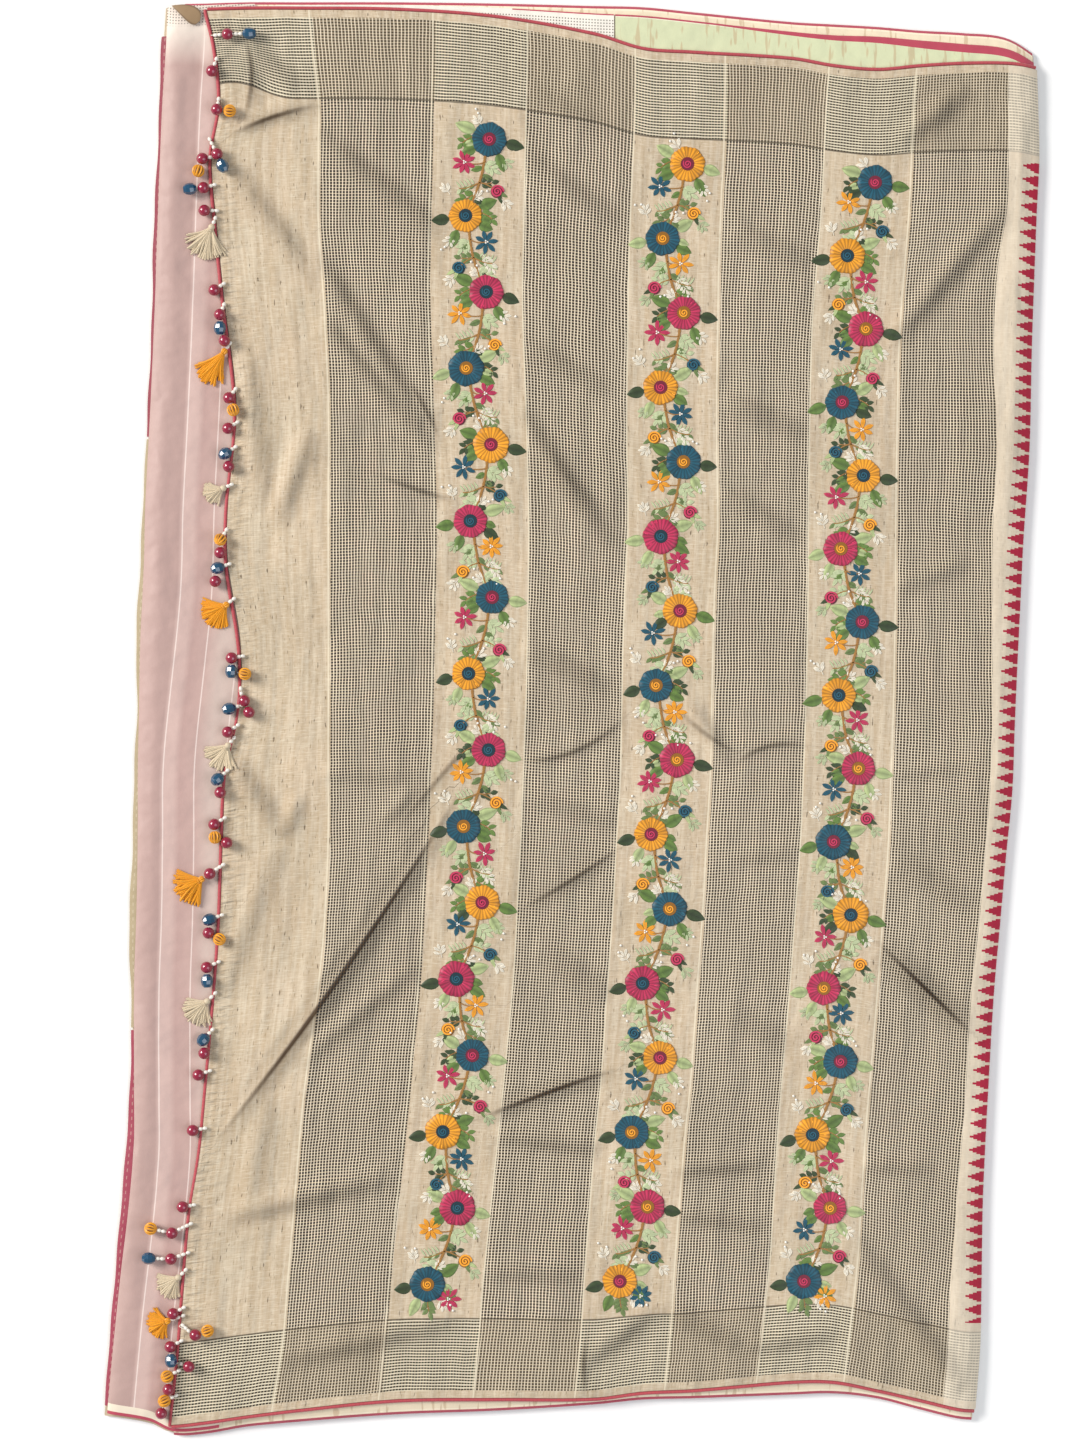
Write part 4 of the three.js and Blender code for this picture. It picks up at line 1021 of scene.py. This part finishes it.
def pearl(x, y, z, radius, code=("pearl", 1.0)):
    """A small bead or knot: three rings of six and a crown."""
    start = len(work["points"])
    for lift in (-0.3, 0.35, 0.8):
        spread = math.sqrt(1 - lift * lift) * radius
        for k in range(6):
            angle = k * math.pi / 3
            work["points"].append((x + spread * math.cos(angle), y + spread * math.sin(angle),
                                   z + radius * lift))
    work["points"].append((x, y, z + radius))
    work["tones"] += [1.0] * 19
    for ring in range(2):
        for k in range(6):
            a, b = start + ring * 6 + k, start + ring * 6 + (k + 1) % 6
            work["faces"].append((a, b, b + 6, a + 6))
            work["codes"].append(code)
    for k in range(6):
        work["faces"].append((start + 12 + k, start + 12 + (k + 1) % 6, start + 18))
        work["codes"].append(code)


def at(x, y, angle, reach):
    """A place at a distance in a direction."""
    return x + math.cos(angle) * reach, y + math.sin(angle) * reach


def lay(grid, colour, tones, closed=False):
    """Satin over a grid of (x, y, height, tone), tone carrying painted light and shade; tones holds
    one shade for each row.
    """
    start, width = len(work["points"]), len(grid[0])
    for line in grid:
        work["points"] += [point[:3] for point in line]
        work["tones"] += [point[3] for point in line]
    rows = len(grid)
    for row in range(rows if closed else rows - 1):
        a, b = start + row * width, start + (row + 1) % rows * width
        for i in range(width - 1):
            work["faces"].append((a + i, b + i, b + i + 1, a + i + 1))
            work["codes"].append((colour, tones[row]))


def pad(x, y, angle, length, half, colour, rise=0.8, rows=4, slant=0.0, vein=0.85, blunt=0.9):
    """A satin-stitched lens or drop from its root at x, y, its edges drawn into the cloth."""
    grid = []
    for row in range(rows + 1):
        line = []
        # painted shade: darker at the edges, where the stitches go into the cloth, and along the
        # vein
        for across, lift, tone in ((-1, -0.3, 0.32), (-0.62, 0.8, 1.0), (0, 0.7, vein),
                                   (0.62, 0.8, 1.0), (1, -0.3, 0.32)):
            forward = row / rows + slant * abs(across) * (1 - row / rows)
            reach = half * math.sin(math.pi * min(1, forward) ** blunt) ** 0.75 * across
            ends = math.sin(math.pi * mix(0.12, 0.9, row / rows))
            px, py = at(x, y, angle, length * forward)
            px, py = at(px, py, angle + math.pi / 2, reach)
            line.append((px, py, rise * lift * (ends if lift > 0 else 1), tone))
        grid.append(line)
    lay(grid, colour, [rng.uniform(0.88, 1.1) for _ in range(rows)])


def coil(x, y, radius, colour, turns, rise, base=-0.2):
    """A cord wound round itself into a domed button; a darker disc paints shade in its grooves."""
    start = len(work["points"])
    for k in range(20):
        work["points"].append((*at(x, y, k * math.pi / 10, radius + 0.75), base))
    work["points"].append((x, y, rise * 0.72))
    work["tones"] += [0.7] * 21
    for k in range(20):
        work["faces"].append((start + k, start + (k + 1) % 20, start + 20))
        work["codes"].append((colour, 0.45))
    count = int(turns * 14) + 1
    path, heights = [], []
    for i in range(count):
        share = i / (count - 1)
        path.append(at(x, y, share * turns * 2 * math.pi, (radius - 0.7) * (1 - share) + 0.3))
        heights.append(rise * (0.75 + 0.5 * share))
    # the cord is painted a little lighter than its floss, as light on the coils
    strand(path, [radius / turns * 0.78] * count, heights, (colour, 1.12))


def rosette(x, y, petal, button):
    """A padded disc of radial stitches, its rim drawn down, round a coiled button."""
    rise = ROSETTE_RISE
    radius = ROSETTE_RADIUS * rng.uniform(0.95, 1.05)
    lobes, lean = rng.choice((7, 8)), rng.uniform(0, 6.3)
    grid, tones = [], []
    for i in range(2 * ROSETTE_STITCHES):
        crest = i % 2
        angle = i / ROSETTE_STITCHES * math.pi
        reach = radius * (1 + 0.028 * math.cos(lobes * angle + lean) - 0.012 * (1 - crest))
        # painted light and shade: each stitch's crest lighter and the valley beside it darker
        tone = 1.12 if crest else 0.5
        # painted shade also darkens the inner edge and the rim
        grid.append([(*at(x, y, angle, reach * share), rise * lift + 0.2 * crest, tone * shade)
                     for share, lift, shade in ((0.3, 0.5, 0.6), (0.38, 0.95, 0.95),
                                                (0.7, 1.0, 1.0), (0.93, 0.75, 0.95),
                                                (1.0, -0.3, 0.6))])
        tones += [rng.uniform(0.78, 1.2)] if not crest else [tones[-1]]
    lay(grid, petal, tones, closed=True)
    coil(x, y, 4.7, button, 2.2, 2.7, rise + 0.25)
    # five short strands of the petal floss, painted far lighter as highlights
    for _ in range(5):
        angle, reach = rng.uniform(0, 6.3), radius * rng.uniform(0.6, 0.78)
        strand([at(x, y, angle, reach), at(x, y, angle, reach + rng.uniform(1.4, 2.6))],
               (0.6, 0.6), (0.5, 0.5), (petal, 1.9), rise * 0.85)


def star(x, y, colour):
    """A flower of separate satin petals with three pearls at its heart."""
    petals, first = rng.choice((7, 7, 8)), rng.uniform(0, 1)
    for k in range(petals):
        angle = first + k / petals * 2 * math.pi + rng.uniform(-0.1, 0.1)
        pad(x, y, angle, rng.uniform(9.2, 11.0), 2.25, colour, 1.1, 5, 0.0, 0.8, 1.35)
    for k in range(3):
        pearl(*at(x, y, k * 2.1, 1.0), 0.6, 0.8)


def leaf(x, y, angle, length, half, colour):
    """Fishbone leaf: slanting stitches to both sides of a sunk vein, painted darker as shade."""
    pad(x, y, angle, length, half, colour, 0.9, 8, 0.24, 0.55, 0.82)


def fern(x, y, angle, length, colour, pairs=3, bend=0.5, size=8.0, half=2.3):
    """A thin bent stem with leaflets in pairs, each a fat single stitch."""
    path = []
    for i in range(6):
        path.append((x, y))
        x, y = at(x, y, angle, length / 5)
        angle += bend / 5
    strand(path, [1.1] * 6, [0.6] * 6, ("pale" if colour == "pale" else "stem", 0.9))
    for k in range(pairs):
        px, py = path[min(5, 1 + int(k * 5 / pairs))]
        for turn in (-1, 1):
            lean = angle - bend / 2 + turn * rng.uniform(0.75, 1.05)
            pad(px, py, lean, size * rng.uniform(0.85, 1.1), half, colour)
    pad(*path[-1], angle, size, half, colour)


def sprig(x, y, angle, length, colour, loops=3, with_pearls=False):
    """A stem with looped daisy stitches to both sides and one at its tip."""
    tip = at(x, y, angle, length)
    strand(((x, y), (mix(x, tip[0], 0.5), mix(y, tip[1], 0.5)), tip), (0.9, 0.9, 0.7),
           (0.6, 0.6, 0.5), (colour, 0.8))
    for k in range(loops):
        share = (k + 1) / loops * 0.9
        for turn in (-1, 1):
            pad(mix(x, tip[0], share), mix(y, tip[1], share), angle + turn * rng.uniform(0.7, 1.0),
                rng.uniform(5.6, 7.2), 1.6, colour, 0.9, 4, 0.0, 0.62, 1.5)
    pad(*tip, angle, 6.0, 1.5, colour, 0.9, 4, 0.0, 0.62, 1.5)
    if with_pearls:
        for reach in (3.0, 6.5):
            pearl(*at(*tip, angle + rng.uniform(-0.9, 0.9), reach + 3), 0.5, 1.1)


def stem(start, end, bow, width=3.8):
    """A twisted cord in two plies from one flower to the next."""
    x0, y0 = start
    x2, y2 = end
    xm, ym = (x0 + x2) / 2 + bow[0], (y0 + y2) / 2 + bow[1]
    steps = max(4, int(math.hypot(x2 - x0, y2 - y0) / 2.2))
    path = [((1 - s) ** 2 * x0 + 2 * s * (1 - s) * xm + s * s * x2,
             (1 - s) ** 2 * y0 + 2 * s * (1 - s) * ym + s * s * y2)
            for s in (i / steps for i in range(steps + 1))]
    for ply in (0, 1):
        wave = [(px + 0.28 * math.sin(i * 1.6 + ply * math.pi), py)
                for i, (px, py) in enumerate(path)]
        strand(wave, [width * 0.62] * len(path), [0.85 - 0.2 * ply] * len(path),
               ("stem", 0.9 + 0.2 * ply))
    return path


def below(x, y, way, pitch, middle, end, k, number):
    """Stem, star flower, bud and greenery between a rosette and the next one."""
    path = stem((x - way * 3, y - 9), end, (way * 7, 3))
    fork, other = path[len(path) // 5], path[len(path) // 2]
    outward = math.pi if way > 0 else 0.0
    # ferns and feathers lie under the flowers
    feather = (other[0] - way * 16, other[1] - 5)
    for i in range(5):
        share = 0.25 + i * 0.17
        px, py = mix(other[0], feather[0], share), mix(other[1], feather[1], share)
        pad(px, py, outward - way * 0.95, rng.uniform(6, 8), 0.9, "pale")
        pad(px, py, outward + way * rng.uniform(0.7, 1.1), rng.uniform(6, 7.5), 1.8,
            rng.choice(("fern", "pale", "fern")))
    stem(other, feather, (-way * 2, -3), 2.2)
    fern(*fork, -1.57 + way * 0.8, 9, "pale", 3, 0.2, 8.0, 2.1)
    fern(*path[2 * len(path) // 3], -1.57 - way * rng.uniform(0.7, 1.0), 11,
         rng.choice(("fern", "leaf", "pale")), 3, -way * 0.4)
    fern(*other, outward + math.pi - way * 0.2, 10, rng.choice(("fern", "pale", "dark_leaf")), 2,
         way * 0.4, 6.5)
    if rng.random() < 0.75:
        fern(x - way * 11, y + 3, outward + way * 0.3, 12, rng.choice(("dark_leaf", "leaf")), 3,
             way * 0.5, 7.0, 2.1)
    for share, lean, tone in ((0.3, -1.1, "leaf"), (0.42, 1.0, "fern"), (0.78, 1.1, "dark_leaf"),
                              (0.85, -0.9, "leaf")):
        px, py = path[int(share * (len(path) - 1))]
        pad(px, py, -1.57 + lean * rng.uniform(0.8, 1.2), rng.uniform(9, 11), 2.9,
            rng.choice((tone, "fern")), 0.8, 6, 0.2, 0.6, 0.85)
    star_at = ((x - 21, y - 17) if way > 0 else (x + 15.5, y - 21.5))
    star_at = (star_at[0] + rng.uniform(-1.5, 1.5), star_at[1] + rng.uniform(-1.5, 1.5))
    stem(fork, star_at, (way * 1.5, -3), 2.0)
    star(*star_at, STAR_COLOURS[(k + number) % 3])
    bud_at = (x + way * rng.uniform(5, 8), y - pitch * rng.uniform(0.66, 0.7))
    for lean in (-0.5, -1.2):
        pad(*bud_at, lean if way > 0 else math.pi - lean, rng.uniform(9.5, 11.5), 2.0,
            rng.choice(("fern", "pale_leaf", "dark_leaf")))
    stem(other, bud_at, (way * 1.0, 2), 2.2)
    coil(*bud_at, 5.6, STAR_COLOURS[(k + 2 * number) % 3], 2.3, 1.7)
    # looped sprigs fill the band's sides
    sprig(bud_at[0] + way * 3, bud_at[1] - 5.5, -1.57 + way * 0.75, 6, rng.choice(("ecru", "pale")),
          2)
    if way < 0:
        sprig(star_at[0] - 3, star_at[1] - 10, -1.0, 13, "ecru", 4, rng.random() < 0.5)
    else:
        sprig(middle - 22, y - pitch * 0.72, 1.57 + rng.uniform(0.2, 0.7), 6, "ecru", 2,
              rng.random() < 0.6)
    sprig(x + way * 9, y - 15, -1.57 + way * rng.uniform(0.5, 0.9), 7, rng.choice(("ecru", "pale")),
          2, rng.random() < 0.4)


for number, (column, first, pitch) in enumerate(VINES):
    work = {"points": [], "tones": [], "faces": [], "codes": []}
    rng = random.Random(31 + number)
    centres = [(float(side(column, first - pitch * k)) + (-SWAY if k % 2 else SWAY),
                first - pitch * k) for k in range(ROSETTES)]
    for k, (x, y) in enumerate(centres):
        way = -1 if k % 2 else 1
        middle = float(side(column, y - pitch / 2))
        petal, button = ROSETTE_COLOURS[column][k % len(ROSETTE_COLOURS[column])]
        if k + 1 < ROSETTES:
            below(x, y, way, pitch, middle, centres[k + 1], k, number)
        else:
            fern(x, y - 12, -1.57, 10, "fern", 3, 0.3)
            sprig(x - way * 8, y - 11, -1.57 - way * 0.7, 7, "ecru", 2, True)
            star(x - way * 17, y - 12, STAR_COLOURS[(k + number) % 3])
        # leaves round the rosette, pale above and dark below
        upper, outer, lower = rng.choice(LEAF_TONES)
        inward = 0 if way > 0 else math.pi
        leaf(*at(x, y, 1.57 + way * 1.0, 12), 1.57 + way * rng.uniform(1.0, 1.35),
             rng.uniform(16, 19), 5.8, upper)
        leaf(*at(x, y, inward - 0.2 * way, 12.5), inward - way * rng.uniform(0.1, 0.4),
             rng.uniform(15, 18), 5.4, outer)
        leaf(*at(x, y, -1.57 - way * 1.0, 12), -1.57 - way * rng.uniform(0.9, 1.2),
             rng.uniform(13, 16), 5.0, lower)
        leaf(*at(x, y, -1.57 + way * 0.55, 12.5), -1.57 + way * rng.uniform(0.3, 0.6),
             rng.uniform(15, 18), 5.0, rng.choice(("pale_leaf", "leaf")))
        leaf(*at(x, y, 1.57 + way * 1.7, 12), 1.57 + way * rng.uniform(1.8, 2.0),
             rng.uniform(9, 12), 3.8, rng.choice(("pale_leaf", "leaf")))
        sprig(*at(x, y, 1.57 + way * 0.45, 13), 1.57 + way * rng.uniform(0.6, 0.9), 5, "ecru",
              2, rng.random() < 0.5)
        rosette(x, y, petal, button)
    points = np.array(work["points"])
    points[:, 2] += surface(points[:, 0], points[:, 1])
    vine = cloth_piece(f"embroidered_{column}", points, work["faces"], floss)
    sizes = [len(face) for face in work["faces"]]
    shades = np.repeat([linear(FLOSS[name]) for name, _ in work["codes"]], sizes, axis=0)
    # floss colours times each stitch's tone and its painted light and shade
    tones = np.repeat([tone for _, tone in work["codes"]], sizes)
    tones = tones * np.array(work["tones"])[np.concatenate(work["faces"])]
    shades[:, :3] *= tones[:, None]
    colour = vine.data.color_attributes.new("floss", "FLOAT_COLOR", "CORNER")
    colour.data.foreach_set("color", shades.astype(np.float32).ravel())

# ---- Bead and tassel drops ----
# Short strings along the free end: white seed beads, then crimson pearl beads, faceted teal
# glass or balls wound with marigold thread; some end in a tassel of loose floss.
# radii: crimson pearl, teal glass, yellow ball; head of a tassel and seed bead
BEAD = {"C": 4.8, "T": 5.6, "Y": 5.2}
TASSEL_HEAD = 2.9
SEED = 1.6
LOOSE = 7.0
BEAD_GAP = 0.5
CLEAR = 0.6
TASSEL_STRANDS = 84
THREAD = 0.4
ROOT = 5

# y on the edging, heading in degrees from +X, bare thread, turn at each bead, string of beads
# with a dash for a loose length, tassel's length, its spread in degrees and its colour
DROPS = (
    (555, 1, 9, 0, "C-T"), (533, 250, 3, 0, "C"), (500, 262, 1, 92, "CY"),
    (468, 297, 6, -2, "CT"), (456, 190, 1, 62, "CY"), (433, 196, 1, -10, "CT"),
    (413, 180, 2, 0, "C"), (404, 248, 2, 0, "", 27, 74, "cream"), (352, 215, 1, 0, "C"),
    (334, 250, 1, 20, "CTC"), (303, 235, 2, 0, "", 30, 42, "gold"), (266, 235, 1, 55, "CY"),
    (240, 215, 1, 0, "C"), (220, 215, 1, 70, "TC"), (190, 205, 1, 0, "", 17, 60, "cream"),
    (152, 240, 1, 28, "YC"), (126, 200, 1, 60, "TC"), (97, 218, 2, 0, "", 22, 84, "gold"),
    (52, 190, 1, 80, "CTY"), (24, 300, 4, -8, "CC"), (12, 196, 2, 40, "T"),
    (-5, 215, 2, 0, "C"), (-16, 232, 2, 0, "", 22, 88, "cream"), (-42, 222, 2, 60, "TC"),
    (-80, 212, 2, 62, "CYC"), (-118, 214, 5, 0, "C", 24, 92, "gold"), (-158, 200, 2, 66, "TCY"),
    (-196, 205, 3, 68, "CT"), (-222, 226, 4, 0, "", 22, 84, "cream"), (-252, 228, 2, 46, "TC"),
    (-284, 200, 2, 0, "C"), (-330, 190, 2, 0, "C"), (-392, 190, 1, 0, "C"),
    (-408, 206, 9, -38, "C-Y"), (-431, 200, 7, -22, "C-T"),
    (-446, 226, 3, 0, "", 20, 76, "cream"), (-476, 210, 2, 0, "C"),
    (-482, 200, 8, 0, "", 17, 96, "gold"), (-503, 208, 2, 66, "CT"), (-527, 206, 2, 70, "YC"),
    (-547, 204, 2, 52, "YC"), (-490, 335, 10, 44, "CY"), (-520, 350, 6, 0, "C"),
)


def glass(name, code, roughness, coat, transmission=0.0):
    """Bead glass or pearl lacquer: clear gloss over its colour, which clouds a little."""
    material = new_material(name, roughness, 0.6)
    shader.inputs["Coat Weight"].default_value = coat
    shader.inputs["Coat Roughness"].default_value = 0.06
    shader.inputs["Transmission Weight"].default_value = transmission
    cloud = node("TexNoise", node("TexCoord", out=3), None, 260.0, 2.0)
    tree.links.new(mottled(code, 0.25, cloud, "6A6A6A"), shader.inputs["Base Color"])
    return material


crimson_pearl = glass("crimson pearl lacquer", "920F36", 0.24, 0.7)
teal_glass = glass("teal pressed glass, faceted", "0B4D6F", 0.12, 0.8, 0.15)
seed_glass = glass("opaque white seed glass", "F3EDE2", 0.3, 0.4)


def thread_material(name, code, roughness=0.45):
    """Loose floss or spun thread with fine hairs along it."""
    material = new_material(name, roughness, 0.3, 0.3)
    hair = node("TexNoise", node("TexCoord", out=3), None, 1300.0, 2.0)
    base = mottled(code, 0.4, hair, "7A6A58")
    finish(base, hair, 0.5, 0.2, 0.0)
    return material


gold_floss = thread_material("marigold silk floss", "F0A41E", 0.36)
cream_floss = thread_material("ecru cotton floss", "DBCBAE")
string_cotton = thread_material("white beading thread", "E9DFD0")
# a dark ball inside each wound bead, showing as painted shade in the grooves between windings
groove_shade_core = thread_material("wooden core, dark", "7C440E")


def reshape(ball, chosen, act, value):
    """Move or scale the chosen vertices of a bead in edit mode."""
    for vertex in ball.data.vertices:
        vertex.select = chosen(vertex.co)
    bpy.ops.object.mode_set(mode="EDIT")
    act(value=value)
    bpy.ops.mesh.select_all(action="DESELECT")
    bpy.ops.object.mode_set(mode="OBJECT")


def pushed_poles(depth):
    """Both poles pushed in: the thread's holes, or flat cuts."""
    def change(ball):
        for end in (1, -1):
            reshape(ball, lambda co: co.z * end > 0.99, bpy.ops.transform.translate,
                    (0, 0, -depth * end))
    return change


def wind(ball):
    """Thread wound from pole to pole: every second meridian lies lower."""
    reshape(ball, lambda co: abs(co.z) < 0.97
            and round(math.atan2(co.y, co.x) / (2 * math.pi) * MERIDIANS) % 2 == 0,
            bpy.ops.transform.resize, (0.76, 0.76, 0.97))


def shaped(name, change, **start):
    """A bead modelled once: a sphere of radius 1, shaped in edit mode by change()."""
    bpy.ops.object.select_all(action="DESELECT")
    bpy.ops.mesh.primitive_uv_sphere_add(radius=1, **start)
    ball = bpy.context.object
    ball.name = name
    bpy.ops.object.mode_set(mode="EDIT")
    bpy.ops.mesh.select_mode(type="VERT")
    bpy.ops.mesh.select_all(action="DESELECT")
    bpy.ops.object.mode_set(mode="OBJECT")
    change(ball)
    points = np.array([v.co[:] for v in ball.data.vertices])
    faces = [list(p.vertices) for p in ball.data.polygons]
    mesh = ball.data
    bpy.data.objects.remove(ball)
    bpy.data.meshes.remove(mesh)
    return points, faces


MERIDIANS = 20
# each kind's mesh, its material's place in MATERIALS, and whether it is smooth
SHAPES = {
    "C": (shaped("pearl", pushed_poles(0.22), segments=18, ring_count=12), 0, True),
    "T": (shaped("facets", pushed_poles(0.1), segments=9, ring_count=6), 1, False),
    "Y": (shaped("wound", wind, segments=MERIDIANS, ring_count=10), 2, True),
    "seed": (shaped("seed", pushed_poles(0.22), segments=8, ring_count=6), 3, True),
    "core": (shaped("core", pushed_poles(0.1), segments=16, ring_count=10), 6, True),
}
MATERIALS = (crimson_pearl, teal_glass, gold_floss, seed_glass, string_cotton, cream_floss,
             groove_shade_core)
GOLD_SLOT, COTTON_SLOT, CREAM_SLOT = 2, 4, 5


def cloth_top(x, y):
    """The cloth's top: pink stretch, edging or end piece."""
    edge = side("free", y)
    low = level(x, y) - OVER + pink_relief(x, y)
    high = surface(x, y)
    middle = level(x, y) + EDGING_HEIGHT
    return np.where(x < edge - 1.6, low, np.where(x < edge + 1.7, middle, high))


REACH, AROUND = np.meshgrid((0.0, 0.35, 0.7, 0.95), np.linspace(0, 2 * math.pi, 13))


def rest_height(x, y, radius):
    """The lowest middle at which a ball clears the cloth under it."""
    under = cloth_top(x + radius * REACH * np.cos(AROUND), y + radius * REACH * np.sin(AROUND))
    return float(np.max(under + radius * np.sqrt(1 - REACH ** 2))) + CLEAR


def put(kind, spot, radius, axis, longer=1.0):
    """Set a bead on the string, its holes along the thread."""
    (points, faces), slot_index, smooth = SHAPES[kind]
    axis = axis / np.linalg.norm(axis)
    helper = np.array((0.0, 0.0, 1.0)) if abs(axis[2]) < 0.9 else np.array((1.0, 0, 0))
    first = np.cross(helper, axis)
    first /= np.linalg.norm(first)
    turned = points @ np.stack([first, np.cross(axis, first), axis * longer])
    start = sum(len(p) for p in string["points"])
    string["points"].append(turned * radius + spot)
    string["faces"] += [[i + start for i in face] for face in faces]
    string["slots"] += [slot_index] * len(faces)
    string["smooth"] += [smooth] * len(faces)


def cord(path, radius, slot_index, sides=5, taper=1.0):
    """A thin closed cord along a path of points."""
    path = np.asarray(path, float)
    start = sum(len(p) for p in string["points"])
    way = np.gradient(path, axis=0)
    way /= np.maximum(np.linalg.norm(way, axis=1), 1e-6)[:, None]
    over = np.cross(way, (0.0, 0.0, 1.0))
    over /= np.maximum(np.linalg.norm(over, axis=1), 1e-6)[:, None]
    up = np.cross(over, way)
    thick = np.linspace(radius, radius * taper, len(path))
    for k in range(sides):
        angle = 2 * math.pi * k / sides
        string["points"].append(path + (over * math.cos(angle) + up * math.sin(angle))
                                * thick[:, None])
    count = len(path)
    made = []
    for k in range(sides):
        a, b = start + k * count, start + (k + 1) % sides * count
        made += [[a + i, b + i, b + i + 1, a + i + 1] for i in range(count - 1)]
    made.append([start + k * count for k in range(sides)][::-1])
    made.append([start + k * count + count - 1 for k in range(sides)])
    string["faces"] += made
    string["slots"] += [slot_index] * len(made)
    string["smooth"] += [True] * len(made)


def seeds(start, end):
    """White seed beads threaded side by side between two points."""
    count = max(1, round(np.linalg.norm(end - start) / (2.5 * SEED)))
    for i in range(count):
        x, y, z = mix(start, end, (i + 0.5) / count)
        put("seed", np.array((x, y, max(z, rest_height(x, y, SEED)))), SEED, end - start, 1.25)


def tassel(head, heading, length, spread, colour):
    """Loose floss tied in a knot, fanned out on the cloth."""
    slot_index = GOLD_SLOT if colour == "gold" else CREAM_SLOT
    for i in range(TASSEL_STRANDS):
        share = (i + 0.5) / TASSEL_STRANDS - 0.5
        turn = heading + share * spread * 1.1 + rng.uniform(-0.05, 0.05)
        reach = length * rng.uniform(0.82, 1.04) * (1 - 0.25 * abs(share))
        pile = rng.uniform(0.3, 3.6) * (1 - abs(share))
        bend = rng.uniform(-0.25, 0.25)
        path = []
        for k in range(6):
            part = k / 5
            x, y = at(head[0], head[1], turn + bend * part, reach * part)
            ground = float(cloth_top(x, y)) + 0.7 + pile * math.sin(math.pi * (0.15 + 0.7 * part))
            path.append((x, y, mix(head[2], ground, min(1, part * 2.2))))
        cord(path, 0.9, slot_index, 4, 0.9)
    tied = np.array((math.cos(heading), math.sin(heading), 0.0))
    across = np.array((-tied[1], tied[0], 0.0))
    put("Y" if colour == "gold" else "seed", head, TASSEL_HEAD * 0.95, tied)
    if colour == "cream":
        knot = len(SHAPES["seed"][0][1])
        string["slots"][-knot:] = [CREAM_SLOT] * knot
    for lap in (2.6, 3.3):
        ring = [head + tied * lap + across * 1.9 * math.cos(a)
                + np.array((0, 0, 1.6 * math.sin(a) + 0.3)) for a in np.linspace(0, 6.28, 9)]
        cord(ring, THREAD, slot_index, 4)


rng = random.Random(7)
for number, (y, heading, lead, turn, beads, *rest) in enumerate(DROPS, 1):
    string = {"points": [], "faces": [], "slots": [], "smooth": []}
    edge = float(side("free", y))
    heading = math.radians(heading)
    # the string starts in the cloth behind the edging, passes over it and goes on from there
    last = np.array((edge, y, float(level(edge, y)) + EDGING_HEIGHT + 1.0))
    reach = lead
    back = 1 if math.cos(heading) < 0.5 else -0.4
    x = edge - ROOT * math.cos(heading) * back
    root_y = y - ROOT * math.sin(heading)
    inner = np.array((x, root_y, float(cloth_top(x, root_y)) + 1.3))
    string_points = [inner, last]
    seeded_from = inner
    loose = False
    for kind in list(beads) + (["head"] if rest else []):
        if kind == "-":
            reach += LOOSE
            loose = True
            continue
        radius = TASSEL_HEAD if kind == "head" else BEAD[kind]
        x, y = at(last[0], last[1], heading, reach + radius)
        spot = np.array((x, y, rest_height(x, y, radius)))
        back = (last - spot) / np.linalg.norm(last - spot)
        if seeded_from is not None:
            seeds(seeded_from, spot + back * radius)
            seeded_from = None
        elif loose:
            seeds(last - back * reach / 9, spot + back * radius)
        if kind == "head":
            length, spread, colour = rest
            tassel(spot, heading, length, math.radians(spread), colour)
        else:
            slim, longer = (0.9, 1.22) if kind == "T" else (1.0, 1.0)
            put(kind, spot, radius * slim, spot - last, longer)
            # a dark ball inside shows in the grooves: painted shade
            if kind == "Y":
                put("core", spot, radius * 0.85, spot - last)
        string_points.append(spot)
        last = spot
        reach = radius + BEAD_GAP
        loose = False
        heading += math.radians(turn)
    for a, b in zip(string_points, string_points[1:]):
        cord([a, mix(a, b, 0.5), b], THREAD, COTTON_SLOT)
    name = f"drop_{number:02d}"
    piece = cloth_piece("beaded_" + name, np.concatenate(string["points"]), string["faces"],
                        MATERIALS[0], nodes=[name])
    for material in MATERIALS[1:]:
        piece.data.materials.append(material)
    piece.data.polygons.foreach_set("material_index", string["slots"])
    piece.data.polygons.foreach_set("use_smooth", string["smooth"])

# ---- Size ----
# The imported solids' box and the dressed saree's, side by side.
size = {"cad": [list(c) for c in cad_box], "visual": [list(c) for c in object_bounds()]}
